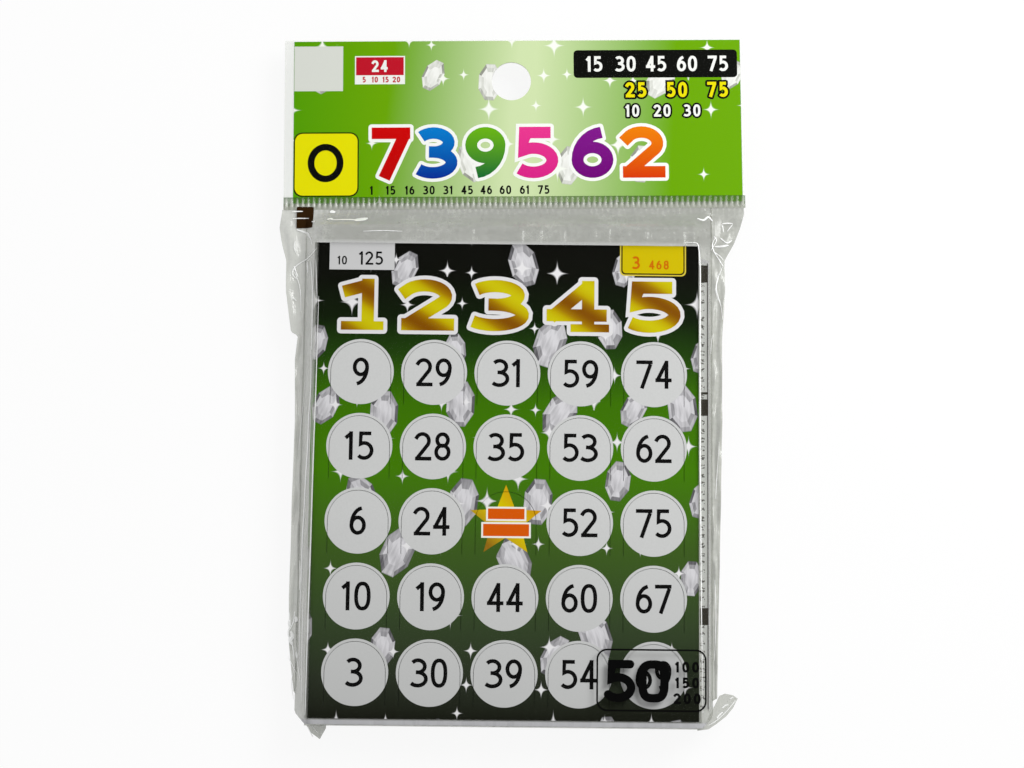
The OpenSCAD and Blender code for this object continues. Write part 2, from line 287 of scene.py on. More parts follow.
class Finish:
    """A material, or the world, and the short calls that build its nodes."""

    def __init__(self, name, world=False):
        self.ending = "ShaderNodeOutputWorld" if world else "ShaderNodeOutputMaterial"
        self.material = bpy.data.worlds.new(name) if world else bpy.data.materials.new(name)
        self.material.use_nodes = True
        self.tree = self.material.node_tree
        self.tree.nodes.clear()

    def node(self, kind, settings=None, sockets=None, output=0):
        """Adds a node of a kind, sets its settings and its sockets, and returns one output or several."""
        made = self.tree.nodes.new(kind)
        for key, setting in (settings or {}).items():
            if key == "stops":
                self.set_stops(made.color_ramp, setting)
            else:
                setattr(made, key, setting)
        for key, value in (sockets or {}).items():
            socket = made.inputs[key]
            if isinstance(value, Value):
                self.tree.links.new(value.socket, socket)
            else:
                socket.default_value = value
        if isinstance(output, tuple):
            return [Value(self, made.outputs[key]) for key in output]
        return Value(self, made.outputs[output]) if made.outputs else None

    def set_stops(self, ramp, stops):
        """Gives a colour ramp its places and colours."""
        while len(ramp.elements) > 1:
            ramp.elements.remove(ramp.elements[-1])
        ramp.elements[0].position = stops[0][0]
        ramp.elements[0].color = stops[0][1]
        for place, colour in stops[1:]:
            ramp.elements.new(place).color = colour

    def maths(self, operation, *values):
        return self.node("ShaderNodeMath", {"operation": operation}, dict(enumerate(values)))

    def clamped(self, value):
        return self.node("ShaderNodeClamp", None, {0: value, 1: 0.0, 2: 1.0})

    def larger(self, first, *others):
        for other in others:
            first = self.maths("MAXIMUM", first, other)
        return first

    def smaller(self, first, second):
        return self.maths("MINIMUM", first, second)

    def mix(self, share, first, second):
        """Colour between two colours."""
        return self.node("ShaderNodeMix", {"data_type": "RGBA"}, {0: share, 6: first, 7: second}, 2)

    def ramp(self, value, stops):
        return self.node("ShaderNodeValToRGB", {"stops": stops}, {0: value})

    def place(self, origin=None, turn=0.0):
        """Object coordinates in millimetres from an origin in metres, turned about the upright."""
        coordinates = self.node("ShaderNodeTexCoord", None, None, "Object")
        start = card_middle if origin is None else origin
        mapped = self.node(
            "ShaderNodeMapping", {"vector_type": "TEXTURE"},
            {"Vector": coordinates, "Location": (start.x, start.y, 0.0), "Rotation": (0.0, 0.0, turn),
             "Scale": (MM, MM, MM)})
        return mapped

    def parts(self, vector):
        """X, Y and Z of a vector."""
        return self.node("ShaderNodeSeparateXYZ", None, {0: vector}, ("X", "Y", "Z"))

    def upward(self):
        """How far the surface faces up in the piece's own frame, so that the print stays on at any pose."""
        return self.parts(self.node("ShaderNodeTexCoord", None, None, "Normal"))[2]

    def vector(self, x, y, z=0.0):
        return self.node("ShaderNodeCombineXYZ", None, {0: x, 1: y, 2: z})

    def vectors(self, operation, first, second):
        return self.node("ShaderNodeVectorMath", {"operation": operation}, {0: first, 1: second})

    def cells(self, vector, size, scatter):
        """Offset from the middle of the cell that a place lies in, and three chances of that cell."""
        sockets = {"Vector": vector, "Scale": 1 / size, "Randomness": scatter}
        middle, dice = self.node(
            "ShaderNodeTexVoronoi", {"voronoi_dimensions": "2D"}, sockets, ("Position", "Color"))
        return self.vectors("SUBTRACT", vector, middle), self.parts(dice)

    def noise(self, vector, scale, detail=3.0, distortion=0.0):
        """Noise from 0 to 1 on a vector."""
        return self.node(
            "ShaderNodeTexNoise", None,
            {"Vector": vector, "Scale": scale, "Detail": detail, "Distortion": distortion})

    def bump(self, height, distance, strength=1.0):
        """Normal of a height from 0 to 1, with its distance in metres."""
        sockets = {"Height": height, "Distance": distance, "Strength": strength}
        return self.node("ShaderNodeBump", None, sockets)

    def principled(self, **sockets):
        """Ends the finish with a Principled surface."""
        names = {key.replace("_", " ").title().replace("Ior", "IOR"): value for key, value in sockets.items()}
        surface = self.node("ShaderNodeBsdfPrincipled", None, names)
        self.finish_with(surface)
        return self.material

    def finish_with(self, surface):
        self.node(self.ending, None, {"Surface": surface})


def stone_prints(finish, ground, plane, cell, size, share, tones):
    """Prints stones with a long eight-sided cut over a ground colour, one in a share of the cells."""
    offset, chance = finish.cells(plane, cell, 0.66)
    turned = finish.node("ShaderNodeVectorRotate", {"rotation_type": "Z_AXIS"},
                         {"Vector": offset, "Angle": (chance[0] - 0.5) * 1.1})
    u, v, _ = finish.parts(turned)
    half = size * (0.8 + chance[2] * 0.4)
    slender = 1.64
    wide = abs(u) * slender
    reach = finish.larger(wide, abs(v), (wide + abs(v)) * 0.72) / half
    sector = finish.maths("ROUND", finish.maths("ARCTAN2", v, u * slender) * (4 / math.pi))
    outer = 0.42 + 0.4 * finish.maths("SINE", sector * 2.3 + chance[2] * 6.0)
    step = 0.66 + 0.24 * finish.maths("SINE", sector * 3.9 + chance[0] * 5.0)
    shine = 0.9 + 0.1 * finish.maths("SINE", (u * 0.7 + v) * (5 / size))
    level = finish.larger(0.0, outer + reach.under(0.8, 0.03) * (step - outer))
    level = level + reach.under(0.56, 0.03) * (shine - level)
    glass = finish.noise(finish.vector(u * 1.5 + chance[0] * 9.0, v * 0.22), 1.0, 2.0)
    level = (level + (glass - 0.5) * 0.7) * (1 - reach.rise(0.95, 1.0) * 0.4)
    stone = reach.under(1.0, 0.03) * chance[1].under(share, 0.001)
    return finish.mix(stone, ground, finish.ramp(level, tones))


def sparkle_prints(finish, ground, plane, cell, share, ink):
    """Prints slender four-point sparkles over a ground colour, one in a share of the cells."""
    offset, chance = finish.cells(plane, cell, 0.85)
    p, q, _ = finish.parts(offset)
    length = 1.7 + chance[0] * chance[0] * 1.9
    star = (abs(p) / (length * 0.85)) ** 0.46 + (abs(q) / length) ** 0.46
    core = 1 - finish.maths("SQRT", p * p + q * q) / (length * 0.32)
    glow = finish.larger(1 - star.rise(0.88, 1.12), finish.clamped(core) * 0.9)
    return finish.mix(glow * chance[1].under(share, 0.001), ground, ink)


def card_print_finish():
    """Finish of the top card and its windows: ground, stones, discs and the star."""
    look = bpy.context.scene.pack_print
    finish = Finish("card_print")
    plane = finish.place()
    x, y, _ = finish.parts(plane)
    streaks = finish.noise(finish.vector(x * 1.0, y * 0.03), 1.4, 2.0)
    level = y / card_h + 0.5 + (streaks - 0.5) * 0.02
    ground = finish.ramp(level, [
        (0.0, tint(24, 26, 18)), (0.08, tint(40, 46, 34)), (0.2, tint(50, 66, 38)),
        (0.36, tint(58, 88, 28)), (0.52, tint(62, 116, 2)), (0.66, tint(56, 108, 0)),
        (0.76, tint(30, 62, 8)), (0.84, tint(12, 26, 4)), (0.93, tint(8, 10, 4)), (1.0, tint(7, 7, 4)),
    ])
    scatter = finish.vectors("ADD", plane, (37.3, 26.1, 0.0))
    tones = [(0.0, tint(84, 83, 86)), (0.5, tint(150, 149, 152)), (1.0, tint(206, 205, 208))]
    colour = stone_prints(finish, ground, scatter, cell=19.0, size=5.2, share=0.7, tones=tones)
    colour = sparkle_prints(finish, colour, scatter, cell=8.6, share=0.5, ink=tint(222, 221, 222))
    across = finish.clamped((finish.maths("ROUND", x / window_pitch_x) + 2) / 4) * 4 - 2
    along = finish.clamped((finish.maths("ROUND", (y + window_drop) / window_pitch_y) + 2) / 4) * 4 - 2
    dx = x - across * window_pitch_x
    dy = y + window_drop - along * window_pitch_y
    radius = finish.maths("SQRT", dx * dx + dy * dy)
    centre = (abs(across) + abs(along)).under(0.5, 0.01)
    speckle = finish.noise(plane, 3.0, 2.0)
    white = finish.mix(speckle.rise(0.3, 0.75) * 0.5, look.disc_white, tint(188, 189, 188))
    # Painted shade: the discs' white is painted darker towards the bottom of the card.
    white = finish.mix((-y).rise(8.0, 56.0) * 0.75, white, tint(180, 181, 180))
    disc = radius.under(look.disc_w / MM / 2) * (1 - centre)
    colour = finish.mix(disc, colour, white)
    colour = star_print(finish, colour, dx, dy, centre)
    # Cut edges are pale card, but near the windows they are painted dark grey as painted shade in the slits.
    edge_with_slit_shade = finish.mix(radius.under(11.0), tint(214, 214, 208), tint(98, 100, 96))
    colour = finish.mix(finish.upward().rise(0.3, 0.6), edge_with_slit_shade, colour)
    fibre = finish.noise(plane, 9.0, 3.0)
    return finish.principled(
        base_color=colour, roughness=0.42 + fibre * 0.16, specular_ior_level=INK_GLOSS,
        normal=finish.bump(fibre, 0.00001, 0.4))


def star_print(finish, colour, dx, dy, centre):
    """Prints the gold star with two bare plaques over a colour."""
    star_r = 9.2
    inner_r = 3.9
    angle = finish.maths("ARCTAN2", dx, dy)
    fifth = math.pi * 2 / 5
    folded = abs(angle - finish.maths("ROUND", angle / fifth) * fifth)
    radius = finish.maths("SQRT", dx * dx + dy * dy)
    across = radius * finish.maths("COSINE", folded)
    aside = radius * finish.maths("SINE", folded)
    inner_x = inner_r * math.cos(fifth / 2)
    inner_y = inner_r * math.sin(fifth / 2)
    edge = Vector((inner_y, star_r - inner_x)).normalized()
    beyond = across * edge.x + aside * edge.y - star_r * edge.x
    star = beyond.under(0.0) * centre
    warm = finish.ramp((dx + dy) * 0.05 + 0.5, [
        (0.0, tint(140, 100, 20)), (0.4, tint(196, 168, 12)), (0.6, tint(205, 190, 0)),
        (1.0, tint(196, 140, 10))])
    colour = finish.mix(star, colour, warm)
    for middle_x, middle_y, half_w, half_h in [(0.1, 2.0, 4.95, 1.75), (0.1, -2.0, 6.1, 1.95)]:
        reach = finish.larger(abs(dx - middle_x) - half_w, abs(dy - middle_y) - half_h)
        colour = finish.mix(reach.under(0.0) * centre, colour, tint(228, 226, 220))
        colour = finish.mix(reach.under(-0.45) * centre, colour, tint(205, 84, 4))
    return colour


def header_print_finish():
    """Finish of the header board: green ends, a pale slanted middle, stones and sparkles."""
    look = bpy.context.scene.pack_print
    finish = Finish("header_print")
    plane = finish.place(header_origin, header_turn)
    x, y, _ = finish.parts(plane)
    pale = finish.smaller((x + 1.6 - y * 0.12).rise(-34.0, -2.0), (y * 0.05 - x).rise(-39.5, -4.0))
    green = finish.mix(x.rise(-56.0, -34.0), tint(80, 150, 0), tuple(look.header_green))
    ground = finish.mix(pale ** 1.15, green, tuple(look.header_pale))
    scatter = finish.vectors("ADD", plane, (12.9, 9.0, 0.0))
    tones = [(0.0, tint(140, 142, 132)), (0.5, tint(204, 206, 198)), (1.0, tint(234, 235, 230))]
    colour = stone_prints(finish, ground, scatter, cell=19.0, size=4.4, share=0.5, tones=tones)
    colour = sparkle_prints(finish, colour, scatter, cell=8.4, share=0.42, ink=tint(236, 240, 230))
    grain = finish.noise(plane, 6.0, 3.0)
    colour = finish.mix(abs(finish.upward()).rise(0.3, 0.6), tint(225, 225, 220), colour)
    return finish.principled(
        base_color=colour, roughness=0.3 + grain * 0.12, specular_ior_level=INK_GLOSS,
        normal=finish.bump(grain, 0.00001, 0.3))


def ink_finish(name, colour, roughness=0.42):
    """Plain printed ink with the paper's grain."""
    finish = Finish(name)
    grain = finish.noise(finish.place(), 5.0, 3.0)
    shade = finish.mix(grain * 0.35, colour, tuple(channel * 0.86 for channel in colour[:3]) + (1.0,))
    return finish.principled(
        base_color=shade, roughness=roughness + grain * 0.1, specular_ior_level=INK_GLOSS,
        normal=finish.bump(grain, 0.00001, 0.3))


def shaded_ink_finish(name, low_colour, high_colour):
    """Printed ink that changes from one colour at the numerals' feet to another at their heads."""
    finish = Finish(name)
    plane = finish.place(header_origin, header_turn)
    grain = finish.noise(plane, 5.0, 3.0)
    share = finish.parts(plane)[1].rise(TITLE_LOW, TITLE_LOW + TITLE_H)
    return finish.principled(
        base_color=finish.mix(share, low_colour, high_colour), roughness=0.42 + grain * 0.1,
        specular_ior_level=INK_GLOSS)


def gold_finish():
    """Gold ink that runs from yellow to brown down the heading."""
    finish = Finish("gold_print")
    plane = finish.place()
    x, y, _ = finish.parts(plane)
    wave = 0.5 + 0.5 * finish.maths("SINE", (y * 1.0 + x * 0.62) * 0.44)
    colour = finish.ramp(wave, [
        (0.0, tint(124, 74, 0)), (0.35, tint(156, 116, 0)), (0.65, tint(182, 160, 0)),
        (1.0, tint(194, 184, 8))])
    return finish.principled(base_color=colour, roughness=0.38, specular_ior_level=INK_GLOSS)


def card_stock_finish():
    """Finish of the cards in the stack: dark printed faces with pale cut edges."""
    finish = Finish("card_stock")
    plane = finish.place()
    x, y, z = finish.parts(plane)
    face = abs(finish.upward()).rise(0.3, 0.6)
    cuts = finish.noise(finish.vector(x * 0.4, y * 0.4, z * 30.0), 1.0, 2.0)
    edge = finish.mix(cuts, tint(150, 152, 146), tint(226, 226, 220))
    level = y / card_h + 0.5
    ground = finish.ramp(level, [
        (0.0, tint(26, 30, 24)), (0.2, tint(45, 76, 34)), (0.52, tint(62, 130, 6)), (0.76, tint(26, 76, 10)),
        (0.93, tint(10, 14, 9)), (1.0, tint(10, 10, 9))])
    return finish.principled(
        base_color=finish.mix(face, edge, ground), roughness=0.5 + cuts * 0.1, specular_ior_level=INK_GLOSS)


def leaf_finish():
    """Matt paper whose turned-up margin has dark blocks, a fine line and small marks."""
    finish = Finish("leaf_paper")
    plane = finish.place()
    x, y, _ = finish.parts(plane)
    fibre = finish.noise(plane, 2.5, 3.0)
    paper = finish.mix(fibre * 0.6, tint(242, 243, 240), tint(226, 228, 223))
    margin = x.rise(MARGIN_INNER_X + 0.2, MARGIN_INNER_X + 0.3)
    ink = margin * 0.0
    for middle_y, half_h in MARGIN_BLOCKS:
        ink = finish.larger(ink, abs(y - middle_y).under(half_h, 0.1))
    line = x.rise(MARGIN_OUTER_X - 0.35, MARGIN_OUTER_X - 0.3)
    marks = finish.noise(finish.vector(x * 0.9, y * 1.3), 1.6, 1.0)
    rows = finish.maths("PINGPONG", y, 1.1).under(0.62, 0.1)
    specks = marks.over(0.52) * rows * (1 - x.rise(MARGIN_OUTER_X - 1.0, MARGIN_OUTER_X - 0.9)) * 0.85
    ink = finish.clamped(finish.larger(ink, line * 0.8, specks)) * margin
    colour = finish.mix(ink, paper, tint(52, 46, 38))
    return finish.principled(
        base_color=colour, roughness=0.72, specular_ior_level=INK_GLOSS,
        normal=finish.bump(fibre, 0.00002, 0.6))


def adhesive_finish():
    """Clear glue with small bubbles."""
    finish = Finish("adhesive")
    plane = finish.place()
    bubbles = finish.noise(plane, 1.2, 3.0)
    colour = finish.mix(bubbles.rise(0.4, 0.7), tint(226, 222, 200), tint(240, 238, 226))
    return finish.principled(
        base_color=colour, roughness=0.25 + bubbles * 0.2, alpha=0.45 + bubbles * 0.25,
        normal=finish.bump(bubbles, 0.00003, 0.5))


def film_finish(name, layers=1, over_cards=True, pale=0.0, leaf_clear=0.92):
    """Clear film: hardly seen over the cards and the leaf, grey and softly streaked beside them, and darker
    along the top; painted light makes it lighter by the cards' left side, near white on the slope there and
    lighter and more opaque under the cards' lower edge, and pale makes a lighter copy of it as painted light.
    """
    look = bpy.context.scene.pack_film
    finish = Finish(name)
    plane = finish.place()
    x, y, _ = finish.parts(plane)
    upright = finish.noise(finish.vector(x * 0.7, y * 0.03), 1.0, 2.0)
    level = finish.noise(finish.vector(x * 0.06, y * 0.7), 1.0, 2.0)
    broad = finish.noise(plane, 0.09, 2.0, 0.8)
    edge_x = card_w / 2
    edge_y = card_h / 2
    top = y.rise(edge_y - 2.0, edge_y + 1.0)
    streaks = upright + (level - upright) * (top * 0.8) - 0.5
    light = 0.5 + pale + streaks * 0.6 + (broad - 0.5) * 0.9 - top * 0.34
    # Painted light: the film is painted lighter by the cards' left side.
    light = light + (-x).rise(edge_x - 5.5, edge_x + 0.5) * 0.36
    grain = finish.noise(plane, 0.8, 4.0)
    light = light + (grain - 0.5) * (0.5 + top * 0.6)
    below = y - x * math.tan(header_turn)
    ribs = finish.maths("PINGPONG", x - header_x, RIB_PITCH / 2) * (2 / RIB_PITCH)
    light = finish.clamped(light + (0.5 - ribs) * below.rise(header_y - 3.0, header_y) * 0.5)
    colour = finish.mix(light, tint(128, 131, 118), tint(196, 198, 190))
    # Painted highlight: the film's slope by the cards' left edge is painted near white.
    colour = finish.mix((-x).rise(edge_x - 2.0, edge_x + 1.5) * 0.42, colour, tint(220, 222, 216))
    opacity = 1 - (1 - look.side_haze) ** layers
    haze = opacity * (0.9 + light * 0.2)
    if over_cards:
        leaf = x.rise(MARGIN_INNER_X, MARGIN_INNER_X + 0.3)
        leaf = leaf * (1 - x.rise(MARGIN_OUTER_X - 0.2, MARGIN_OUTER_X))
        leaf = leaf * (1 - abs(y).rise(MARGIN_END_Y - 0.4, MARGIN_END_Y))
        haze = haze * (1 - leaf * leaf_clear)
        # Painted light: under the cards' lower edge the film is painted lighter and more opaque, so that it
        # hides the shaded inside of the bag.
        lower = (-y).rise(edge_y - 0.1, edge_y + 0.5)
        colour = finish.mix(lower, colour, tint(180, 180, 183))
        haze = haze + lower * 0.35
        beside = abs(x).rise(edge_x - 0.1, edge_x + 0.7)
        beside = finish.larger(beside, y.rise(edge_y - 0.1, edge_y + 0.7), lower)
        haze = look.haze + beside * (haze - look.haze)
    height = upright * 0.5 + broad * 0.9
    return finish.principled(
        base_color=colour, roughness=0.16, alpha=haze, normal=finish.bump(height, 0.0005, 0.7))


def rib_finish():
    """Film of the crimped seal: ribs painted white as highlights on their crests, widest at their lower ends,
    over grooves painted darker as shade.
    """
    finish = Finish("seal_film")
    plane = finish.place(header_origin, header_turn)
    x, y, _ = finish.parts(plane)
    across = finish.maths("PINGPONG", x, RIB_PITCH / 2) * (2 / RIB_PITCH)
    width = 0.66 - y * 0.14
    broad = finish.noise(plane, 0.35, 2.0)
    rib = (1 - across).under(width, 0.62) * y.rise(-0.4, 0.7)
    board = y.rise(0.5, 2.4)
    # Painted shade: the grooves are painted darker, more so further up the seal; painted highlight: the ribs'
    # crests are painted white.
    groove_shade = finish.mix(y.rise(0.2, 1.5), tint(146, 150, 134), tint(102, 108, 86))
    colour = finish.mix(rib, groove_shade, tint(178, 182, 169))
    colour = finish.mix(board * (1 - rib), colour, tint(66, 106, 36))
    edge = y.rise(2.85, 3.0)
    colour = finish.mix(edge, colour, tint(52, 92, 20))
    alpha = finish.larger(0.7 - y.rise(1.5, 1.7) * 0.2, rib * (0.42 + broad * 0.5 - y * 0.06), edge * 0.6)
    return finish.principled(
        base_color=colour, roughness=0.2, alpha=alpha, normal=finish.bump(broad, 0.0003, 0.5))


def crease_highlight_finish():
    """Painted highlights on the film's sharp creases: near white and nearly opaque."""
    finish = Finish("film_crease_highlight")
    plane = finish.place()
    along = finish.noise(plane, 0.5, 2.0)
    return finish.principled(
        base_color=finish.mix(along, tint(244, 246, 243), tint(255, 255, 255)), roughness=0.15,
        alpha=0.8 + along * 0.4)


def clear_finish():
    """Film that lies flat on the header board."""
    finish = Finish("pocket_film")
    plane = finish.place(header_origin, header_turn)
    x, y, _ = finish.parts(plane)
    beyond_right = x.rise(BOARD_RIGHT - 0.1, BOARD_RIGHT)
    beyond_left = (-x).rise(-BOARD_LEFT, 0.1 - BOARD_LEFT)
    edge = finish.larger(beyond_right, beyond_left, y.rise(BOARD_TOP, BOARD_TOP + 0.1))
    ripple = finish.noise(finish.vector(x * 0.3, y), 0.5, 3.0)
    return finish.principled(
        base_color=tint(236, 238, 234), roughness=0.1, alpha=0.002 + edge * 0.5,
        normal=finish.bump(ripple, 0.0002, 0.5))


def add_piece(draft, name, material, body, place=on_card, replaced=()):
    """Turns a draft in millimetres into a placed piece that rides on a body."""
    for vertex in draft.verts:
        vertex.co = place(vertex.co)
    mesh = bpy.data.meshes.new(name)
    draft.to_mesh(mesh)
    draft.free()
    piece = bpy.data.objects.new(name, mesh)
    bpy.context.scene.collection.objects.link(piece)
    mesh.materials.append(material)
    if body:
        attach(piece, body)
    if replaced:
        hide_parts(*replaced)
    return piece


def add_ribbon(draft, points, width, z, closed=False, extend=0.0, corner=0.0):
    """Flat band of one width along points, bent from a grid; it rises a hair so that it can cross itself."""
    spine = [Vector(point) for point in points]
    count = len(spine)
    if extend and not closed:
        spine[0] += (spine[0] - spine[1]).normalized() * extend
        spine[-1] += (spine[-1] - spine[-2]).normalized() * extend
    band = bmesh.ops.create_grid(draft, x_segments=count - 1, y_segments=1, size=1)["verts"]
    for i in range(count):
        before = spine[i - 1] if i else (spine[-2] if closed else spine[0] * 2 - spine[1])
        after = spine[i + 1] if i < count - 1 else (spine[1] if closed else spine[-1] * 2 - spine[-2])
        way_in = (spine[i] - before).normalized()
        way_out = (after - spine[i]).normalized()
        way = (way_in + way_out).normalized()
        reach = width / 2 * min(1.7, 1 / max(0.3, way.dot(way_out)))
        turn = way_in.cross(way_out)
        radius = ((after - before).length / 2) / max(1e-6, abs(math.asin(max(-1.0, min(1.0, turn)))))
        inner = min(reach, radius * TIGHT_SHARE)
        left, right = (inner, reach) if turn > 0 else (reach, inner)
        side = Vector((-way.y, way.x))
        height = z + BAND_RISE * i / count
        low = spine[i] - side * right
        high = spine[i] + side * left
        band[i].co = (low.x, low.y, height)
        band[i + count].co = (high.x, high.y, height)
    ends = (0, count - 1, count, 2 * count - 1)
    if closed:
        for row in (0, count):
            band[row + count - 1].co.z = band[row].co.z
    elif corner:
        round_corners(draft, [band[end] for end in ends], corner)


def round_corners(draft, corners, radius):
    bmesh.ops.bevel(draft, geom=corners, offset=radius, offset_type="OFFSET", segments=6, profile=0.5,
                    affect="VERTICES", material=-1)


def add_dot(draft, middle, width, z):
    """Flat round dot."""
    rim = bmesh.ops.create_circle(draft, cap_ends=True, segments=24, radius=width / 2)["verts"]
    for vertex in rim:
        vertex.co += Vector((middle[0], middle[1], z))


def add_plate(draft, left, low, right, high, radius, z, low_only=False):
    """Flat rectangle with round corners, or with only its lower corners round."""
    corners = bmesh.ops.create_grid(draft, x_segments=1, y_segments=1, size=1)["verts"]
    for corner in corners:
        corner.co = (right if corner.co.x > 0 else left, high if corner.co.y > 0 else low, z)
    if radius:
        middle_y = (low + high) / 2
        round_corners(draft, [corner for corner in corners if not low_only or corner.co.y < middle_y], radius)


def arc(middle_x, middle_y, reach_x, reach_y, start, end, round_share=1.0):
    """Points along part of an ellipse, between two angles in degrees; a share under 1 makes it squarer."""
    steps = max(4, int(abs(end - start) / 12))
    path = []
    for i in range(steps + 1):
        angle = math.radians(start + (end - start) * i / steps)
        ways = (math.cos(angle), math.sin(angle))
        across, along = [math.copysign(abs(way) ** round_share, way) for way in ways]
        path.append((middle_x + reach_x * across, middle_y + reach_y * along))
    return path


# How far a band rises along its length, and how near it comes to the middle of its own bend
BAND_RISE = 0.002
TIGHT_SHARE = 0.9

# Middle lines of the digits in a box of width 1 and height 1
DIGITS = {
    "0": [arc(0.5, 0.5, 0.5, 0.5, 0, 360, 0.84)],
    "1": [[(0.7, 0.0), (0.7, 1.0)], [(0.0, 0.86), (0.4, 0.935)]],
    "2": [arc(0.42, 0.72, 0.52, 0.28, 150, -32) + [(0.14, 0.1)], [(0.0, 0.0), (1.0, 0.0)]],
    "3": [arc(0.36, 0.76, 0.54, 0.24, 142, -85), [(0.2, 0.525)] + arc(0.34, 0.262, 0.66, 0.262, 88, -140)],
    "4": [[(0.74, 0.0), (0.74, 1.0)], [(0.66, 0.93), (0.05, 0.3)], [(0.0, 0.27), (1.0, 0.27)]],
    "5": [[(0.95, 1.0), (0.13, 1.0), (0.1, 0.56)] + arc(0.4, 0.305, 0.6, 0.305, 105, -138)],
    "6": [arc(0.9, 0.31, 0.9, 0.69, 96, 180), arc(0.5, 0.31, 0.5, 0.31, 0, 360)],
    "7": [[(0.0, 1.0), (1.0, 1.0)], [(0.93, 0.85), (0.34, 0.0)]],
    "8": [arc(0.5, 0.76, 0.43, 0.24, 0, 360), arc(0.5, 0.27, 0.5, 0.27, 0, 360)],
    "9": [arc(0.1, 0.69, 0.9, 0.69, -84, 0), arc(0.5, 0.69, 0.5, 0.31, 0, 360)],
}
# The big nought of the count on the film, which is squarer
BOX_NOUGHT = "big 0"
DIGITS[BOX_NOUGHT] = [arc(0.5, 0.5, 0.5, 0.5, 0, 360, 0.62)]
# Digits whose strokes run on by half their width, so that their corners are full
SQUARE_DIGITS = "1247"
WIDE_SHARE = 0.57
NARROW_SHARE = 0.33


def digit_width(digit, height, wide=WIDE_SHARE):
    return height * (wide * NARROW_SHARE / WIDE_SHARE if digit == "1" else wide)


def number_width(text, height, gap, wide=WIDE_SHARE):
    return sum(digit_width(digit, height, wide) for digit in text) + gap * (len(text) - 1)


def add_digit(draft, digit, left, low, width, height, stroke, z, outline=0.0, soft=False):
    """One digit inside its box; an outline makes it wider on every side, and soft rounds its ends."""
    inner_w = width - stroke
    inner_h = height - stroke
    for order, line in enumerate(DIGITS[digit]):
        points = [(left + stroke / 2 + x * inner_w, low + stroke / 2 + y * inner_h) for x, y in line]
        closed = math.dist(points[0], points[-1]) < 0.001
        ends = 0.0 if closed else outline + (stroke / 2 if digit in SQUARE_DIGITS else 0.0)
        line_z = z + order * 2 * BAND_RISE
        add_ribbon(draft, points, stroke + 2 * outline, line_z, closed, 0.0 if soft else ends, outline)
        if soft and not closed:
            for i, end in enumerate([points[0], points[-1]]):
                add_dot(draft, end, stroke, line_z - (i + 1) * BAND_RISE)


def add_number(draft, text, middle_x, low, height, stroke, gap, z, outline=0.0, wide=WIDE_SHARE, soft=False):
    """A row of digits about a middle."""
    left = middle_x - number_width(text, height, gap, wide) / 2
    for digit in text:
        width = digit_width(digit, height, wide)
        add_digit(draft, digit, left, low, width, height, stroke, z, outline, soft)
        left += width + gap


class OBJECT_OT_bingo_stage(bpy.types.Operator):
    """Add the floor, the light and the camera"""
    bl_idname = "object.bingo_stage"
    bl_label = "Add stage"

    def execute(self, context):
        add_floor()
        add_light(context.scene)
        add_camera(context.scene)
        return {"FINISHED"}


def add_floor():
    """A white floor, just below the pack, that keeps a soft shadow."""
    floor_reach = 3000.0
    floor_z = -0.05
    glow_share = 0.9
    draft = bmesh.new()
    bmesh.ops.create_grid(draft, x_segments=1, y_segments=1, size=floor_reach)
    for vertex in draft.verts:
        vertex.co.z = floor_z
    finish = Finish("floor")
    rays = finish.node(
        "ShaderNodeLightPath", None, None, ("Is Camera Ray", "Is Glossy Ray", "Is Transmission Ray"))
    seen = finish.clamped(rays[0] + rays[1] + rays[2])
    paint = finish.node("ShaderNodeBsdfDiffuse", None, {"Color": (0.86, 0.86, 0.86, 1.0)})
    glow = finish.node("ShaderNodeEmission", None, {"Color": (1.0, 1.0, 1.0, 1.0), "Strength": 1.0})
    finish.finish_with(finish.node("ShaderNodeMixShader", None, {0: seen * glow_share, 1: paint, 2: glow}))
    floor = add_piece(draft, "floor", finish.material, None)


def add_light(scene):
    """Even light from the world and two soft square lamps."""
    sky_strength = 0.56
    lamps = [("key_lamp", (0.27, 0.2, 0.36), 0.26, 1.75), ("fill_lamp", (-0.6, 0.1, 0.6), 0.35, 0.3)]
    sky = Finish("studio", True)
    white = (1.0, 1.0, 1.0, 1.0)
    sky.finish_with(sky.node("ShaderNodeBackground", None, {"Color": white, "Strength": sky_strength}))
    scene.world = sky.material
    for name, place, size, power in lamps:
        lamp = bpy.data.lights.new(name, "AREA")
        lamp.shape = "SQUARE"
        lamp.size = size
        lamp.energy = power
        holder = bpy.data.objects.new(name, lamp)
        holder.location = Vector(place)
        holder.rotation_euler = (-Vector(place)).to_track_quat("-Z", "Y").to_euler()
        scene.collection.objects.link(holder)


def add_camera(scene):
    """The photograph's view, from above the cards."""
    aim_place = Vector((1.42642, 23.67384, 12.6))
    view_sizes = scene.pack_stage
    level = view_sizes.elevation
    turn = Matrix.Rotation(view_sizes.turn, 3, "Z")
    aim = on_card(turn @ aim_place)
    view = turn @ Vector((0, math.cos(level), -math.sin(level)))
    right = turn @ Vector((1, 0, 0))
    up = right.cross(view)
    camera = bpy.data.cameras.new("camera")
    camera.lens = view_sizes.lens
    camera.sensor_width = 36.0
    camera.clip_start = 0.01
    camera.clip_end = 100.0
    holder = bpy.data.objects.new("camera", camera)
    turned = Matrix((right, up, -view)).transposed().to_4x4()
    holder.matrix_world = Matrix.Translation(aim - view * view_sizes.distance) @ turned
    scene.collection.objects.link(holder)
    scene.camera = holder
    scene.view_settings.view_transform = "Standard"


def dress(node, material):
    """Gives a CAD node its material."""
    body = frame["nodes"][node]
    body.data.materials.clear()
    body.data.materials.append(material)


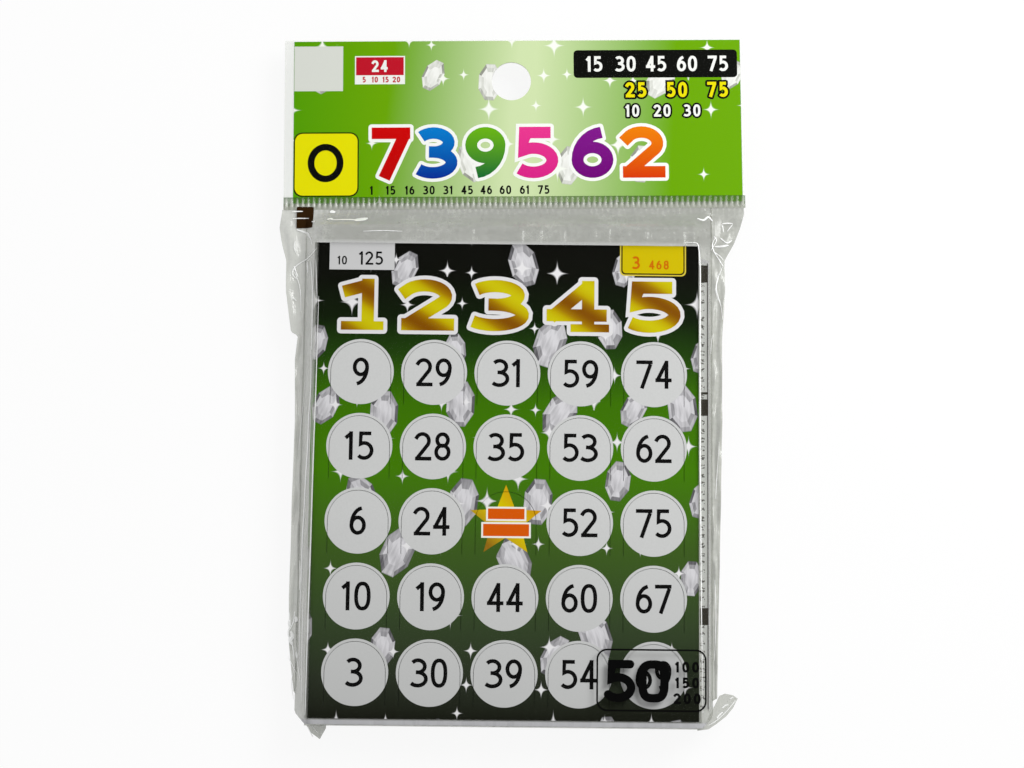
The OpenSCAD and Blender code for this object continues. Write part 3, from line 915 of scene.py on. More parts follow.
class OBJECT_OT_bingo_cards(bpy.types.Operator):
    """Dress the cards, their windows and the leaf"""
    bl_idname = "object.bingo_cards"
    bl_label = "Dress cards"

    def execute(self, context):
        card_print = card_print_finish()
        stock = card_stock_finish()
        for node in frame["nodes"]:
            if node.startswith("window_") or node in ("front_card", "card_02"):
                dress(node, card_print)
            elif node.startswith("card_") or node == "lower_cards":
                dress(node, stock)
        add_leaf()
        add_fold_covers(card_print)
        return {"FINISHED"}


def add_leaf():
    """The leaf under the cards as a sheet of paper; its margin turns up by the stack and bends outwards."""
    low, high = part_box("insert_leaf")
    left = (low.x - card_middle.x) / MM
    right = (high.x - card_middle.x) / MM
    half_h = (high.y - low.y) / MM / 2
    paper_t = 0.2
    low_z = low.z / MM
    high_z = high.z / MM - 0.1
    tight = 0.5
    wide = 0.9
    wall_x = card_w / 2 + 0.35
    section = [(left, low_z)] + arc(wall_x - tight, low_z + tight, tight, tight, -90, 0)
    section += arc(wall_x + wide, high_z - wide, wide, wide, 180, 100) + [(right, high_z)]
    draft = bmesh.new()
    sheet = bmesh.ops.create_grid(draft, x_segments=len(section) - 1, y_segments=1, size=1)["verts"]
    for i, vertex in enumerate(sheet):
        x, z = section[i % len(section)]
        vertex.co = (x, math.copysign(half_h, vertex.co.y), z)
    bmesh.ops.solidify(draft, geom=draft.faces[:], thickness=-paper_t)
    bmesh.ops.recalc_face_normals(draft, faces=draft.faces[:])
    add_piece(draft, "leaf_sheet", leaf_finish(), "stack", replaced=["insert_leaf"])


def windows():
    """Row and column of every window."""
    return [(row, column) for row in range(1, ROWS + 1) for column in range(1, COLUMNS + 1)]


def add_fold_covers(material):
    """Strips of print over the windows' fold lines, where the card isn't cut through."""
    draft = bmesh.new()
    for row, column in windows():
        low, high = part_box(f"window_r{row}c{column}")
        left = (low.x - card_middle.x) / MM - 0.2
        right = (high.x - card_middle.x) / MM + 0.2
        fold_y = (low.y - card_middle.y) / MM
        add_plate(draft, left, fold_y - 0.4, right, fold_y + 0.1, 0, face_z + 0.01)
    add_piece(draft, "fold_covers", material, "stack")


class OBJECT_OT_bingo_numbers(bpy.types.Operator):
    """Print the numbers on the windows"""
    bl_idname = "object.bingo_numbers"
    bl_label = "Print numbers"

    def execute(self, context):
        look = context.scene.pack_print
        ink = ink_finish("number_ink", tuple(look.ink_black))
        height = look.digit_h / MM
        stroke = look.digit_stroke / MM
        for row, column in windows():
            text = NUMBERS[row - 1][column - 1]
            if not text:
                continue
            middle_x, middle_y = window_middle(row, column)
            draft = bmesh.new()
            add_number(draft, text, middle_x, middle_y - height / 2, height, stroke, 0.7,
                       face_z + look.layer_gap / MM)
            add_piece(draft, f"number_r{row}c{column}", ink, f"window_r{row}c{column}")
        return {"FINISHED"}


class OBJECT_OT_bingo_heading(bpy.types.Operator):
    """Print the heading of gold numerals, the tag and the tab on the top card"""
    bl_idname = "object.bingo_heading"
    bl_label = "Print heading"

    def execute(self, context):
        step = context.scene.pack_print.layer_gap / MM
        add_heading(step)
        add_tag(step, ink_finish("tag_black", tuple(context.scene.pack_print.ink_black)))
        add_tab(step)
        return {"FINISHED"}


def add_heading(step):
    """Five gold numerals with a white outline; the first and the fourth have slab feet."""
    numerals = [
        ("1", -41.2, -31.4), ("2", -26.6, -13.4), ("3", -8.6, 5.2), ("4", 9.6, 24.6), ("5", 29.4, 43.0)]
    feet = [(-41.6, -31.0, 2.2), (15.6, 25.2, 2.0)]
    low = 36.9
    height = 13.0
    stroke = 3.1
    layers = [
        ("heading_outline", ink_finish("heading_white", tint(216, 215, 216)), face_z + step, 0.95),
        ("heading_numerals", gold_finish(), face_z + 2 * step, 0.0),
    ]
    for name, material, z, grow in layers:
        draft = bmesh.new()
        for digit, left, right in numerals:
            add_digit(draft, digit, left, low, right - left, height, stroke, z, grow)
        for left, right, foot_h in feet:
            add_plate(draft, left - grow, low - grow, right + grow, low + foot_h + grow, grow,
                      z + 5 * BAND_RISE)
        add_piece(draft, name, material, "stack")


def add_tag(step, black):
    """White tag with plain numbers at the card's upper left."""
    tag = bmesh.new()
    add_plate(tag, -44.78, 52.18, -28.5, 59.0, 0, face_z + step)
    add_piece(tag, "card_tag", ink_finish("tag_white", tint(195, 195, 195)), "stack")
    number = bmesh.new()
    add_number(number, "10", -41.6, 53.45, 2.2, 0.36, 0.35, face_z + 2 * step)
    add_number(number, "125", -34.4, 53.45, 3.4, 0.48, 0.5, face_z + 2 * step)
    add_piece(number, "card_tag_number", black, "stack")


def add_tab(step):
    """Yellow tab with two borders and plain numbers at the card's upper right."""
    layers = [(0.0, tint(206, 186, 62)), (0.35, tint(26, 20, 4)), (0.66, tint(198, 178, 0))]
    for i, (inset, colour) in enumerate(layers):
        tab = bmesh.new()
        add_plate(tab, 27.84 + inset, 51.3 + inset, 44.36 - inset, 59.0, 1.2 - inset * 0.6,
                  face_z + step * (i + 1), True)
        add_piece(tab, f"card_tab_{i + 1}", ink_finish(f"tab_ink_{i + 1}", colour), "stack")
    number = bmesh.new()
    add_number(number, "3", 31.9, 53.0, 3.3, 0.55, 0.5, face_z + 4 * step)
    add_number(number, "468", 37.6, 53.0, 2.3, 0.4, 0.5, face_z + 4 * step)
    add_piece(number, "card_tab_number", ink_finish("tab_orange", tint(196, 100, 0)), "stack")


class OBJECT_OT_bingo_header(bpy.types.Operator):
    """Dress the header board and print its plates and numbers"""
    bl_idname = "object.bingo_header"
    bl_label = "Print header"

    def execute(self, context):
        dress("header_card", header_print_finish())
        board_z = header_card_t / 2
        step = context.scene.pack_print.layer_gap / MM
        black = ink_finish("header_black", tint(6, 7, 4))
        white = ink_finish("header_white", tint(232, 234, 229))
        add_header_plates(board_z, step, black, white)
        add_title(board_z, step)
        add_small_numbers(board_z, step, black, white)
        return {"FINISHED"}


def add_header_plates(board_z, step, black, white):
    """The bare patch, the red tag, the black plate and the yellow square with a ring."""
    plates = [
        ("blank_patch", (-56.0, 30.92, -43.57, 42.72), 0.0, ink_finish("patch_grey", tint(210, 213, 205)), 1),
        ("red_tag_border", (-40.56, 32.68, -27.76, 40.13), 0.0, white, 1),
        ("red_tag", (-40.25, 35.06, -28.1, 39.8), 0.0, ink_finish("tag_red", tint(184, 18, 38)), 2),
        ("range_plate", (15.32, 34.1, 57.1, 41.4), 1.0, black, 1),
        ("type_square_edge", (-56.0, 3.33, -39.49, 20.1), 2.2, black, 1),
        ("type_square", (-55.7, 3.65, -39.8, 19.78), 2.0, ink_finish("square_yellow", tint(224, 218, 0)), 2),
    ]
    for name, (left, low, right, high), radius, material, layer in plates:
        draft = bmesh.new()
        add_plate(draft, left, low, right, high, radius, board_z + layer * step)
        add_piece(draft, name, material, "header", on_header)
    ring = bmesh.new()
    add_ribbon(ring, arc(-47.9, 12.1, 3.7, 4.15, 0, 360), 1.7, board_z + 3 * step, True)
    add_piece(ring, "type_ring", black, "header", on_header)
    plain = bmesh.new()
    for text, middle_x in [("15", 20.6), ("30", 28.6), ("45", 36.4), ("60", 44.3), ("75", 52.2)]:
        add_number(plain, text, middle_x, 35.7, 4.1, 0.72, 0.5, board_z + 2 * step)
    add_number(plain, "24", -34.2, 35.9, 3.1, 0.62, 0.5, board_z + 3 * step)
    add_piece(plain, "plate_numbers", white, "header", on_header)
    tag = bmesh.new()
    for i, text in enumerate(["5", "10", "15", "20"]):
        add_number(tag, text, -38.2 + i * 2.75, 33.15, 1.5, 0.3, 0.2, board_z + 2 * step)
    red = ink_finish("tag_digit_red", tint(188, 40, 50))
    add_piece(tag, "red_tag_small_numbers", red, "header", on_header)


def add_title(board_z, step):
    """Six bold coloured numerals with a white outline across the header."""
    stroke = 3.0
    numerals = [
        ("7", -36.2, -26.4, tint(182, 0, 0), tint(196, 0, 0)),
        ("3", -24.6, -14.4, tint(0, 40, 142), tint(0, 118, 196)),
        ("9", -12.4, -2.2, tint(4, 98, 44), tint(100, 172, 12)),
        ("5", 0.2, 11.2, tint(206, 32, 128), tint(222, 52, 136)),
        ("6", 14.6, 25.2, tint(104, 0, 112), tint(122, 20, 132)),
        ("2", 27.6, 38.4, tint(206, 54, 0), tint(226, 122, 0)),
    ]
    ground = bmesh.new()
    for digit, left, right, low_colour, high_colour in numerals:
        add_digit(ground, digit, left, TITLE_LOW, right - left, TITLE_H, stroke, board_z + step, 0.85)
        face = bmesh.new()
        add_digit(face, digit, left, TITLE_LOW, right - left, TITLE_H, stroke, board_z + 2 * step)
        ink = shaded_ink_finish(f"title_ink_{digit}", low_colour, high_colour)
        add_piece(face, f"title_numeral_{digit}", ink, "header", on_header)
    add_piece(ground, "title_outline", ink_finish("title_white", tint(238, 240, 235)), "header", on_header)


def add_small_numbers(board_z, step, black, white):
    """The rows of small numbers on the header."""
    row = bmesh.new()
    for i, text in enumerate(["1", "15", "16", "30", "31", "45", "46", "60", "61", "75"]):
        add_number(row, text, -36.2 + i * 4.85, 3.8, 2.25, 0.42, 0.35, board_z + step)
    add_piece(row, "small_number_row", black, "header", on_header)
    ground = bmesh.new()
    upper = bmesh.new()
    lower = bmesh.new()
    for i, text in enumerate(["25", "50", "75"]):
        add_number(ground, text, 31.2 + i * 10.4, 28.9, 4.0, 0.8, 0.7, board_z + step, 0.5)
        add_number(upper, text, 31.2 + i * 10.4, 28.9, 4.0, 0.8, 0.7, board_z + 2 * step)
    for i, text in enumerate(["10", "20", "30"]):
        add_number(ground, text, 30.2 + i * 7.6, 23.8, 3.2, 0.6, 0.6, board_z + step, 0.45)
        add_number(lower, text, 30.2 + i * 7.6, 23.8, 3.2, 0.6, 0.6, board_z + 2 * step)
    add_piece(ground, "count_outline", black, "header", on_header)
    add_piece(upper, "count_numbers", ink_finish("count_yellow", tint(226, 214, 0)), "header", on_header)
    add_piece(lower, "count_numbers_small", white, "header", on_header)


def seal_y(x):
    """Height of the seal's lower edge over the cards' middle, at a place across."""
    return header_y + (x - header_x) * math.tan(header_turn)


def film_section(share, y):
    """Reach across and fall from the top of the front film, for a share from the middle to the tip."""
    flat_share = 0.72
    reach = tip_x - max(0.0, CORNER_START_Y - y)
    if share <= flat_share:
        return BEND_X * share / flat_share, 0.0
    t = (share - flat_share) / (1 - flat_share)
    across = (1 - t) ** 2 * BEND_X + 2 * t * (1 - t) * BEND_PULL_X + t * t * tip_x
    return min(across, reach), t * t


def film_ripple(x, y, seed):
    """Uneven height of loose film from -1 to 1."""
    broad = noise.noise(Vector((x * 0.045, y * 0.05, seed)))
    upright = noise.noise(Vector((x * 0.55, y * 0.06, seed + 5)))
    return broad * 0.6 + upright * 0.4


def film_lift(x, y, fall, roof, seed):
    """How far the loose film stands out at a place; it is nearly flat over the cards."""
    crease = bpy.context.scene.pack_film.crease_height / MM
    taut = 0.12
    loose = max(smooth_share(abs(x), 44, 49), smooth_share(y, 56, 62), smooth_share(-y, 56, 60))
    return film_ripple(x, y, seed) * (taut + loose * crease) * (1 - fall) * (1 - roof)


def front_height(x, y, fall):
    """Height of the front film at a place with its fall from the top."""
    roof = smooth_share(y, ROOF_START_Y, seal_y(x))
    z = film_top_z - 0.15 - fall * (film_top_z - 0.15 - film_mid_z) + film_lift(x, y, fall, roof, 3.0)
    return z + (film_mid_z + SEAL_HALF_T - z) * roof


def back_height(x, y, fall):
    """Height of the back film at a place with its rise from the floor."""
    roof = smooth_share(y, ROOF_START_Y, seal_y(x))
    floor_z = floor_step_z * (1 - smooth_share(y, flap_end_y + 2.0, flap_end_y + 4.0))
    z = floor_z + fall ** BACK_FULLNESS * (film_mid_z - floor_z) + abs(film_lift(x, y, fall, roof, 9.0)) * 0.3
    return z + (film_mid_z - SEAL_HALF_T - z) * roof


def fin_height(side, out, y, high_y):
    """Height of a flat fin at a share of its reach beyond the bag."""
    crease = bpy.context.scene.pack_film.crease_height / MM
    wander = noise.noise(Vector((0.0, y * 0.06, side * 4.0))) * 6.0
    pleat = math.sin(out * 9.0 + wander)
    buckle = noise.noise(Vector((out * 1.5, y * 0.16, side * 7.0)))
    lift = (pleat * 0.35 + buckle * 1.6) * crease * smooth_share(out, 0.0, 0.4)
    return film_mid_z + lift * (1 - smooth_share(y, high_y - 4.0, high_y))


def film_point(u, v, front):
    """A point of the front or back film; u runs across from -1 to 1 and v from the bottom to the seal."""
    guess_y = wall_y + (seal_y(0) - wall_y) * v
    across, fall = film_section(abs(u), guess_y)
    x = math.copysign(across, u)
    y = wall_y + (seal_y(x) - wall_y) * v
    return Vector((x, y, front_height(x, y, fall) if front else back_height(x, y, fall)))


def film_sheet(name, front, material):
    """One side of the bag as a grid laid over its section."""
    columns = 150
    rows = 150
    draft = bmesh.new()
    bmesh.ops.create_grid(draft, x_segments=columns, y_segments=rows, size=1)
    for vertex in draft.verts:
        vertex.co = film_point(vertex.co.x, (vertex.co.y + 1) / 2, front)
    if not front:
        bmesh.ops.reverse_faces(draft, faces=draft.faces)
    node = "bag_front_film" if front else "bag_back_film"
    return add_piece(draft, name, material, None, replaced=[node])


def fin_outline(side):
    """Outer edge of a fin as pairs of height and reach, from the CAD seam."""
    node = "left_side_seam" if side < 0 else "right_side_seam"
    outline = set()
    for vertex in frame["nodes"][node].data.vertices:
        reach = side * (vertex.co.x - card_middle.x) / MM
        if reach > tip_x + 0.1:
            outline.add((round((vertex.co.y - card_middle.y) / MM, 3), round(reach, 3)))
    return sorted(outline)


FIN_INNER_X = tip_x - 0.4
FIN_TAIL = 0.3
# How far each fin runs on below its CAD seam to the film corner, and below which height it starts to;
# and about how far a fin flares out under the seal
FIN_DROP = {-1: 0.0, 1: 2.6}
FIN_DROP_Y = -45
FLARE_W = 6


def fin_reach(outline, y):
    """Reach of a fin's outer edge at a height."""
    if y <= outline[0][0]:
        share = smooth_share(y, outline[0][0] - FIN_TAIL, outline[0][0])
        return tip_x + (outline[0][1] - tip_x) * share
    for (low_y, low_reach), (high_y, high_reach) in zip(outline, outline[1:]):
        if y <= high_y and high_y > low_y:
            return low_reach + (high_reach - low_reach) * (y - low_y) / (high_y - low_y)
    return outline[-1][1]


def film_fin(name, side, material):
    """Flat film beside the bag, out to the outline of the CAD seam, with upright pleats."""
    outline = fin_outline(side)
    draft = bmesh.new()
    bmesh.ops.create_grid(draft, x_segments=14, y_segments=220, size=1)
    low_y = outline[0][0] - FIN_DROP[side] - FIN_TAIL
    for vertex in draft.verts:
        out = (vertex.co.x + 1) / 2
        high_y = seal_y(side * (tip_x + out * FLARE_W))
        y = low_y + (high_y - low_y) * (vertex.co.y + 1) / 2
        dropped_y = y + FIN_DROP[side] * (y < FIN_DROP_Y)
        reach = FIN_INNER_X + (fin_reach(outline, dropped_y) - FIN_INNER_X) * out
        vertex.co = Vector((side * reach, y, fin_height(side, out, y, high_y)))
    if side < 0:
        bmesh.ops.reverse_faces(draft, faces=draft.faces)
    node = "left_side_seam" if side < 0 else "right_side_seam"
    return add_piece(draft, name, material, None, replaced=[node])


class OBJECT_OT_bingo_bag(bpy.types.Operator):
    """Add the two sheets of the bag, its flat fins, the eye mark and the closure's film"""
    bl_idname = "object.bingo_bag"
    bl_label = "Add bag film"

    def execute(self, context):
        film = film_finish("bag_film")
        # Painted light: over the leaf the back film is more opaque, so that its grey hides the dark leaf wall
        # behind it.
        back_film = film_finish("back_film", leaf_clear=-0.7)
        loose_film = film_finish("loose_film", 2, False)
        # Painted light: the closure's wall, ears and flap get a lighter copy of the film.
        corner_film = film_finish("corner_film", 1, False, 0.5)
        sheets = [
            film_sheet("film_front", True, film),
            film_sheet("film_back", False, back_film),
            film_fin("film_fin_left", -1, loose_film),
            film_fin("film_fin_right", 1, loose_film),
            eye_mark(),
        ]
        for sheet in sheets:
            bend_with_header(sheet)
        for node in ["closure_wall", "left_ear", "right_ear", "closure_flap"]:
            dress(node, corner_film)
        dress("adhesive_strip", adhesive_finish())
        return {"FINISHED"}


def bend_with_header(sheet):
    """Bakes the placement of a piece of the bag's film into its mesh; where it would bend under the seal is
    worked out but not used.
    """
    bend_low = 3.4
    bend_high = 0.5
    start = on_card((0, seal_y(0) - bend_low, film_mid_z))
    end = on_card((0, seal_y(0) + bend_high, film_mid_z))
    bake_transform(sheet)


class OBJECT_OT_bingo_creases(bpy.types.Operator):
    """Add the sharp creases of the film, with painted highlights"""
    bl_idname = "object.bingo_creases"
    bl_label = "Add creases"

    def execute(self, context):
        add_crease_highlights()
        return {"FINISHED"}


class OBJECT_OT_bingo_seal(bpy.types.Operator):
    """Add the crimped seal under the header"""
    bl_idname = "object.bingo_seal"
    bl_label = "Add seal"

    def execute(self, context):
        add_seal(context.scene.pack_film)
        return {"FINISHED"}


class OBJECT_OT_bingo_pocket(bpy.types.Operator):
    """Add the two films of the header pocket, with the hang hole"""
    bl_idname = "object.bingo_pocket"
    bl_label = "Add header pocket"

    def execute(self, context):
        add_pocket()
        return {"FINISHED"}


class OBJECT_OT_bingo_film_prints(bpy.types.Operator):
    """Print the box with its count on the bag's film"""
    bl_idname = "object.bingo_film_prints"
    bl_label = "Print film"

    def execute(self, context):
        add_film_prints()
        return {"FINISHED"}


def fall_at(across):
    """Fall of the film's section at a distance from the middle, from 0 on top to 1 at the tip."""
    if across <= BEND_X:
        return 0.0
    share = min(1.0, (across - BEND_X) / (tip_x - BEND_X))
    pull = (BEND_PULL_X - BEND_X) / (tip_x - BEND_X)
    t = (math.sqrt(pull * pull + (1 - 2 * pull) * share) - pull) / (1 - 2 * pull)
    return t * t


def film_height(x, y, outlines):
    """Height of the front film or a fin over a place."""
    if abs(x) < FIN_INNER_X + 0.2:
        return front_height(x, y, fall_at(abs(x)))
    side = math.copysign(1, x)
    reach = fin_reach(outlines[side], y)
    out = min(1.0, max(0.0, (abs(x) - FIN_INNER_X) / (reach - FIN_INNER_X)))
    return max(fin_height(side, out, y, seal_y(x)), front_height(x, y, fall_at(abs(x))))


# Painted highlights along the film's creases, as they are seen from the camera at the height of the seal:
# widest width, and points from the middle of the front card
CREASE_HIGHLIGHTS = [
    (0.16, [(-50.5, 24.6), (-51.0, 18.1), (-51.5, 12.0), (-51.8, 7.2)]),
    (0.32, [(-49.0, 33.4), (-48.8, 23.3), (-49.2, 15.5), (-49.3, 8.1), (-49.6, 1.6), (-49.9, -7.4),
            (-50.2, -15.6), (-50.2, -22.8), (-50.4, -34.0), (-50.2, -47.0)]),
    (0.36, [(-47.2, 46.0), (-47.3, 33.0), (-47.4, 21.0), (-47.6, 11.6), (-47.7, 2.0), (-47.8, -10.8),
            (-47.9, -22.2), (-48.1, -38.0), (-48.2, -55.0), (-48.3, -57.6)]),
    (0.3, [(43.8, 60.6), (46.9, 60.5), (47.5, 59.0), (47.8, 55.9), (47.9, 51.0), (47.8, 37.5), (47.8, 24.5),
           (47.8, 7.3), (47.9, -4.2), (48.0, -20.0), (48.2, -38.9), (48.4, -56.0)]),
    (0.24, [(52.2, 62.5), (51.4, 59.9), (53.3, 56.3), (54.2, 55.0)]),
    (0.22, [(54.0, 55.0), (52.7, 51.5), (52.4, 48.8), (53.5, 44.8), (53.9, 41.3)]),
    (0.5, [(52.0, 60.0), (53.8, 60.1), (55.5, 60.4)]),
    (0.16, [(51.3, 37.3), (51.0, 34.9), (50.9, 32.5)]),
    (0.16, [(53.0, 10.3), (52.5, 3.0), (52.1, -3.9)]),
    (0.36, [(-44.9, 65.6), (-40.3, 65.7), (-37.9, 65.6), (-35.9, 65.9)]),
    (0.95, [(-38.8, 65.6), (-37.2, 65.8), (-35.6, 66.1)]),
    (0.7, [(-45.4, 67.9), (-44.8, 68.0), (-44.0, 67.9)]),
    (0.3, [(-54.9, 67.9), (-53.4, 68.0), (-52.2, 68.0)]),
    (0.24, [(-54.8, 66.1), (-52.9, 66.2), (-50.6, 66.2)]),
    (0.4, [(-49.8, 65.3), (-49.3, 65.2), (-48.9, 65.4)]),
    (0.14, [(-36.4, 62.6), (-31.4, 62.8), (-26.6, 62.7)]),
    (0.3, [(-48.0, 58.3), (-50.0, 56.3), (-53.5, 54.0), (-54.5, 51.9), (-53.0, 50.3)]),
    (0.2, [(-48.2, 55.4), (-47.9, 50.2), (-47.6, 44.9)]),
    (0.2, [(-51.5, 62.6), (-50.6, 61.6), (-49.7, 60.6)]),
    (0.16, [(-53.6, 57.0), (-54.2, 58.6), (-54.0, 60.4)]),
    (0.45, [(47.4, 67.1), (49.0, 66.7), (50.4, 67.6), (51.4, 66.6)]),
    (0.28, [(53.8, 65.9), (55.2, 66.1), (56.6, 66.0)]),
    (0.2, [(53.8, 65.8), (54.1, 64.8), (54.2, 63.8)]),
    (0.2, [(56.6, 65.8), (55.9, 65.0), (55.2, 64.0)]),
    (0.2, [(51.6, 58.8), (52.9, 57.9), (54.2, 56.6)]),
    (0.22, [(51.8, 62.7), (52.4, 61.5), (51.0, 59.0)]),
    (0.14, [(53.0, 53.3), (52.2, 49.2), (52.8, 46.3)]),
    (0.34, [(-53.3, -32.6), (-52.9, -36.0), (-53.3, -38.6), (-52.2, -41.4), (-51.7, -44.8)]),
    (0.8, [(-51.5, -34.2), (-51.4, -34.9), (-51.5, -35.6)]),
    (0.7, [(-53.2, -35.2), (-53.1, -36.0), (-53.1, -36.8)]),
    (1.0, [(-52.7, -37.8), (-52.3, -39.2), (-52.8, -40.0), (-52.2, -41.2)]),
    (0.7, [(-51.2, -42.8), (-51.1, -43.6), (-51.0, -44.4)]),
    (0.2, [(-53.2, -44.0), (-52.2, -46.0), (-50.9, -48.3)]),
    (0.3, [(-51.9, -33.0), (-52.1, -35.4), (-53.0, -37.6)]),
    (0.16, [(-51.4, -46.0), (-52.2, -50.0), (-51.6, -54.5)]),
    (0.16, [(51.8, -24.0), (52.1, -33.0), (51.7, -44.0)]),
    (0.5, [(-53.7, 63.3), (-50.9, 62.3), (-50.3, 61.2)]),
    (0.24, [(-51.0, 62.3), (-50.0, 61.0), (-49.4, 59.1)]),
    (0.3, [(-54.2, 53.9), (-53.6, 52.4), (-53.1, 51.1)]),
    (0.18, [(-53.9, 52.2), (-52.5, 48.3), (-52.1, 42.2)]),
    (0.3, [(-54.6, 45.8), (-53.9, 45.5), (-53.3, 45.0)]),
    (0.3, [(-49.7, 55.0), (-49.0, 47.8), (-48.8, 32.5)]),
    (0.5, [(-50.8, 55.0), (-50.6, 53.5), (-50.5, 52.1)]),
    (0.4, [(-45.8, 65.7), (-45.0, 65.9), (-44.3, 65.9)]),
    (0.4, [(-50.8, -20.2), (-50.6, -23.9), (-50.7, -27.6)]),
    (0.16, [(-49.5, -27.6), (-49.5, -39.9), (-49.2, -54.5)]),
    (0.2, [(-51.3, -41.1), (-50.9, -44.8), (-49.8, -49.7)]),
    (0.3, [(53.4, 62.3), (55.1, 61.0), (56.4, 61.8)]),
]
# Painted highlights (glints) along creases of the film corners at the bag's lower edge
EAR_GLINTS = [
    (0.34, [(52.3, -57.9), (53.0, -57.0), (53.7, -56.4)]),
    (0.3, [(53.6, -55.4), (54.4, -54.7), (55.1, -54.6)]),
    (0.26, [(55.6, -53.2), (56.0, -52.8), (56.3, -52.9)]),
    (0.18, [(50.2, -59.6), (52.0, -58.6), (54.6, -56.2), (56.8, -53.6)]),
    (0.2, [(-48.0, -61.0), (-47.3, -62.2), (-46.7, -63.4)]),
    (0.14, [(-46.9, -60.9), (-45.9, -62.0), (-45.4, -62.6)]),
]
CREASE_SEEN_Z = 8.0
CREASE_STEPS = 6


def smooth_path(points):
    """Points of a smooth line through given points."""
    ends = [points[0]] + points + [points[-1]]
    path = []
    for i in range(1, len(ends) - 2):
        before, start, stop, after = [Vector(point) for point in ends[i - 1:i + 3]]
        for step in range(CREASE_STEPS):
            t = step / CREASE_STEPS
            path.append(0.5 * (
                2 * start + (stop - before) * t + (2 * before - 5 * start + 4 * stop - after) * t * t
                + (3 * start - before - 3 * stop + after) * t ** 3))
    path.append(Vector(points[-1]))
    return path


def seen_lean():
    """How far the camera sees a place moved up the cards for each unit of its height."""
    return math.tan(math.pi / 2 - bpy.context.scene.pack_stage.elevation)


def add_ridge(draft, points, width, outlines):
    """A low ridge on the film, tapered to both ends, bent from a grid two cells wide."""
    spine = smooth_path(points)
    count = len(spine)
    band = bmesh.ops.create_grid(draft, x_segments=count - 1, y_segments=2, size=1)["verts"]
    for i, point in enumerate(spine):
        way = (spine[min(count - 1, i + 1)] - spine[max(0, i - 1)]).normalized()
        side = Vector((-way.y, way.x))
        half = width / 2 * max(0.05, math.sin(math.pi * (i + 0.5) / count)) ** 0.5
        for row, share in enumerate((-1, 0, 1)):
            x = point.x + side.x * half * share
            seen_y = point.y + side.y * half * share
            y = seen_y - (film_height(x, seen_y, outlines) - CREASE_SEEN_Z) * seen_lean()
            z = film_height(x, y, outlines) + CREASE_LIFT + (half * RIDGE_SHARE if share == 0 else 0.0)
            band[row * count + i].co = Vector((x, y, z))


def add_crease_highlights():
    """The film's sharp creases as ridges with painted highlights, and the painted glints of the film corners,
    which swing with the closure.
    """
    draft = bmesh.new()
    outlines = {side: fin_outline(side) for side in (-1, 1)}
    for width, points in CREASE_HIGHLIGHTS:
        add_ridge(draft, points, width, outlines)
    crease = crease_highlight_finish()
    bend_with_header(add_piece(draft, "film_creases", crease, None))
    glints = bmesh.new()
    for width, points in EAR_GLINTS:
        spine = smooth_path(points)
        for i, point in enumerate(spine[:-1]):
            add_ribbon(glints, [point, spine[i + 1]], width, film_mid_z + GLINT_LIFT + BAND_RISE * i)
    add_piece(glints, "ear_glints", crease, "closure_wall")


def eye_mark():
    """The dark mark for the bag machine, printed on the film's left edge."""
    left, low, right, high = -53.79, 63.76, -49.47, 69.3
    outlines = {-1: fin_outline(-1)}
    draft = bmesh.new()
    bmesh.ops.create_grid(draft, x_segments=24, y_segments=30, size=1)
    for vertex in draft.verts:
        x = left + (right - left) * (vertex.co.x + 1) / 2
        seen_y = low + (high - low) * (vertex.co.y + 1) / 2
        y = seen_y - (film_height(x, seen_y, outlines) - film_mid_z) * seen_lean()
        vertex.co = Vector((x, y, film_height(x, y, outlines) + MARK_LIFT))
    return add_piece(draft, "eye_mark", ink_finish("mark_brown", tint(46, 28, 8)), None)


def add_seal(look):
    """The crimped seal as a finely ribbed band."""
    groove_z = 0.28
    draft = bmesh.new()
    bmesh.ops.create_grid(draft, x_segments=RIBS * 6, y_segments=8, size=1)
    for vertex in draft.verts:
        x = vertex.co.x * HEADER_FILM_W / 2
        y = (vertex.co.y + 1) / 2 * SEAL_H
        rib = (0.5 - 0.5 * math.cos(x * 2 * math.pi / RIB_PITCH)) ** (1.2 + y)
        edge = smooth_share(1 - abs(vertex.co.y), 0.0, 0.5)
        vertex.co = Vector((x, y, groove_z + rib * edge * look.rib_height / MM))
    bottom = bmesh.ops.duplicate(draft, geom=draft.verts[:] + draft.edges[:] + draft.faces[:])["geom"]
    for item in bottom:
        if isinstance(item, bmesh.types.BMVert):
            item.co.z = -item.co.z
    bmesh.ops.reverse_faces(draft, faces=[item for item in bottom if isinstance(item, bmesh.types.BMFace)])
    add_piece(draft, "seal_band", rib_finish(), "header", on_header, replaced=["rib_seal"])


def add_pocket():
    """The two flat films of the header pocket, with the hang hole."""
    clear = clear_finish()
    films = [("pocket_front", POCKET_Z, "header_front_film"), ("pocket_back", -POCKET_Z, "header_back_film")]
    for name, z, node in films:
        draft = bmesh.new()
        corners = bmesh.ops.create_grid(draft, x_segments=1, y_segments=1, size=1)["verts"]
        bmesh.ops.delete(draft, geom=draft.faces[:], context="FACES_ONLY")
        for corner in corners:
            y = HEADER_FILM_TOP if corner.co.y > 0 else SEAL_H
            corner.co = (math.copysign(HEADER_FILM_W / 2, corner.co.x), y, z)
        rim = bmesh.ops.create_circle(draft, cap_ends=False, segments=64, radius=HOLE_R)["verts"]
        for vertex in rim:
            vertex.co += Vector((HOLE_X, HOLE_Y, z))
        bmesh.ops.triangle_fill(draft, use_beauty=True, edges=draft.edges[:])
        bmesh.ops.recalc_face_normals(draft, faces=draft.faces[:])
        add_piece(draft, name, clear, "header", on_header, replaced=[node])


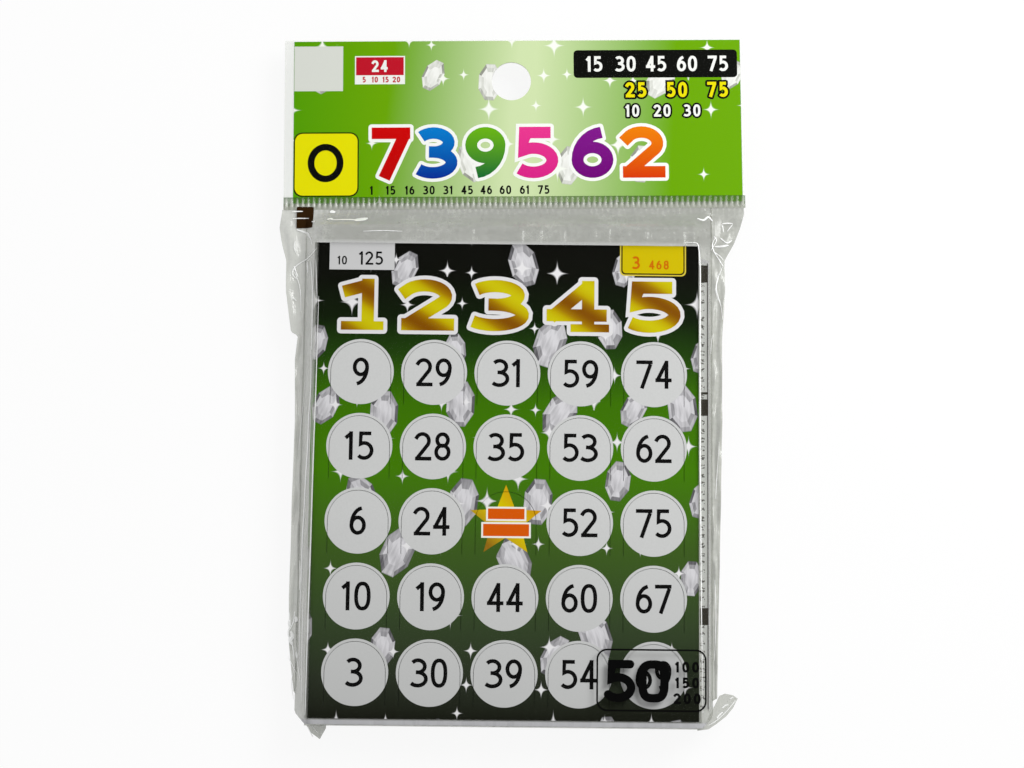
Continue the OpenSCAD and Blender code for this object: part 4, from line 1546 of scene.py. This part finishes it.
def add_film_prints():
    """The count in its box, printed on the bag's own film."""
    black = ink_finish("film_black", tint(6, 6, 6), 0.3)
    z = film_top_z + PRINT_LIFT
    box = bmesh.new()
    left, low, right, high, radius = 22.63, -56.41, 49.0, -41.72, 2.4
    corners = [(right - radius, high - radius, 90, 0), (right - radius, low + radius, 0, -90),
               (left + radius, low + radius, -90, -180), (left + radius, high - radius, 180, 90)]
    loop = []
    for x, y, start, end in corners:
        loop += arc(x, y, radius, radius, start, end)
    add_ribbon(box, loop + [loop[0]], 0.42, z, True)
    for digit, digit_left in [("5", 24.5), (BOX_NOUGHT, 32.6)]:
        add_digit(box, digit, digit_left, -54.4, 7.4, 10.2, 2.05, z, 0.0, True)
    for i, text in enumerate(["100", "150", "200"]):
        add_number(box, text, 44.5, -47.1 - i * 3.8, 2.6, 0.6, 0.7, z, 0.0, 0.66)
    add_piece(box, "film_count_print", black, "bag")


class VIEW3D_PT_bingo_pack(bpy.types.Panel):
    """Lists the steps that dress the bingo card pack"""
    bl_idname = "VIEW3D_PT_bingo_pack"
    bl_label = "Bingo card pack"
    bl_space_type = "VIEW_3D"
    bl_region_type = "UI"
    bl_category = "Bingo pack"

    def draw(self, context):
        for step in STEPS:
            self.layout.operator(step.bl_idname)


STEPS = [
    OBJECT_OT_bingo_stage, OBJECT_OT_bingo_cards, OBJECT_OT_bingo_numbers, OBJECT_OT_bingo_heading,
    OBJECT_OT_bingo_header, OBJECT_OT_bingo_bag, OBJECT_OT_bingo_creases, OBJECT_OT_bingo_seal,
    OBJECT_OT_bingo_pocket, OBJECT_OT_bingo_film_prints,
]
SETTINGS = {"pack_film": FilmSizes, "pack_print": PrintSizes, "pack_stage": StageSizes}


def register():
    for group in SETTINGS.values():
        bpy.utils.register_class(group)
    for name, group in SETTINGS.items():
        setattr(bpy.types.Scene, name, bpy.props.PointerProperty(type=group))
    for step in STEPS + [VIEW3D_PT_bingo_pack]:
        bpy.utils.register_class(step)


def unregister():
    for step in reversed(STEPS + [VIEW3D_PT_bingo_pack]):
        bpy.utils.unregister_class(step)
    for name in SETTINGS:
        delattr(bpy.types.Scene, name)
    for group in SETTINGS.values():
        bpy.utils.unregister_class(group)


def main():
    register()
    bpy.ops.object.bingo_stage()
    bpy.ops.object.bingo_cards()
    bpy.ops.object.bingo_numbers()
    bpy.ops.object.bingo_heading()
    bpy.ops.object.bingo_header()
    bpy.ops.object.bingo_bag()
    bpy.ops.object.bingo_creases()
    bpy.ops.object.bingo_seal()
    bpy.ops.object.bingo_pocket()
    bpy.ops.object.bingo_film_prints()


if __name__ == "__main__":
    main()
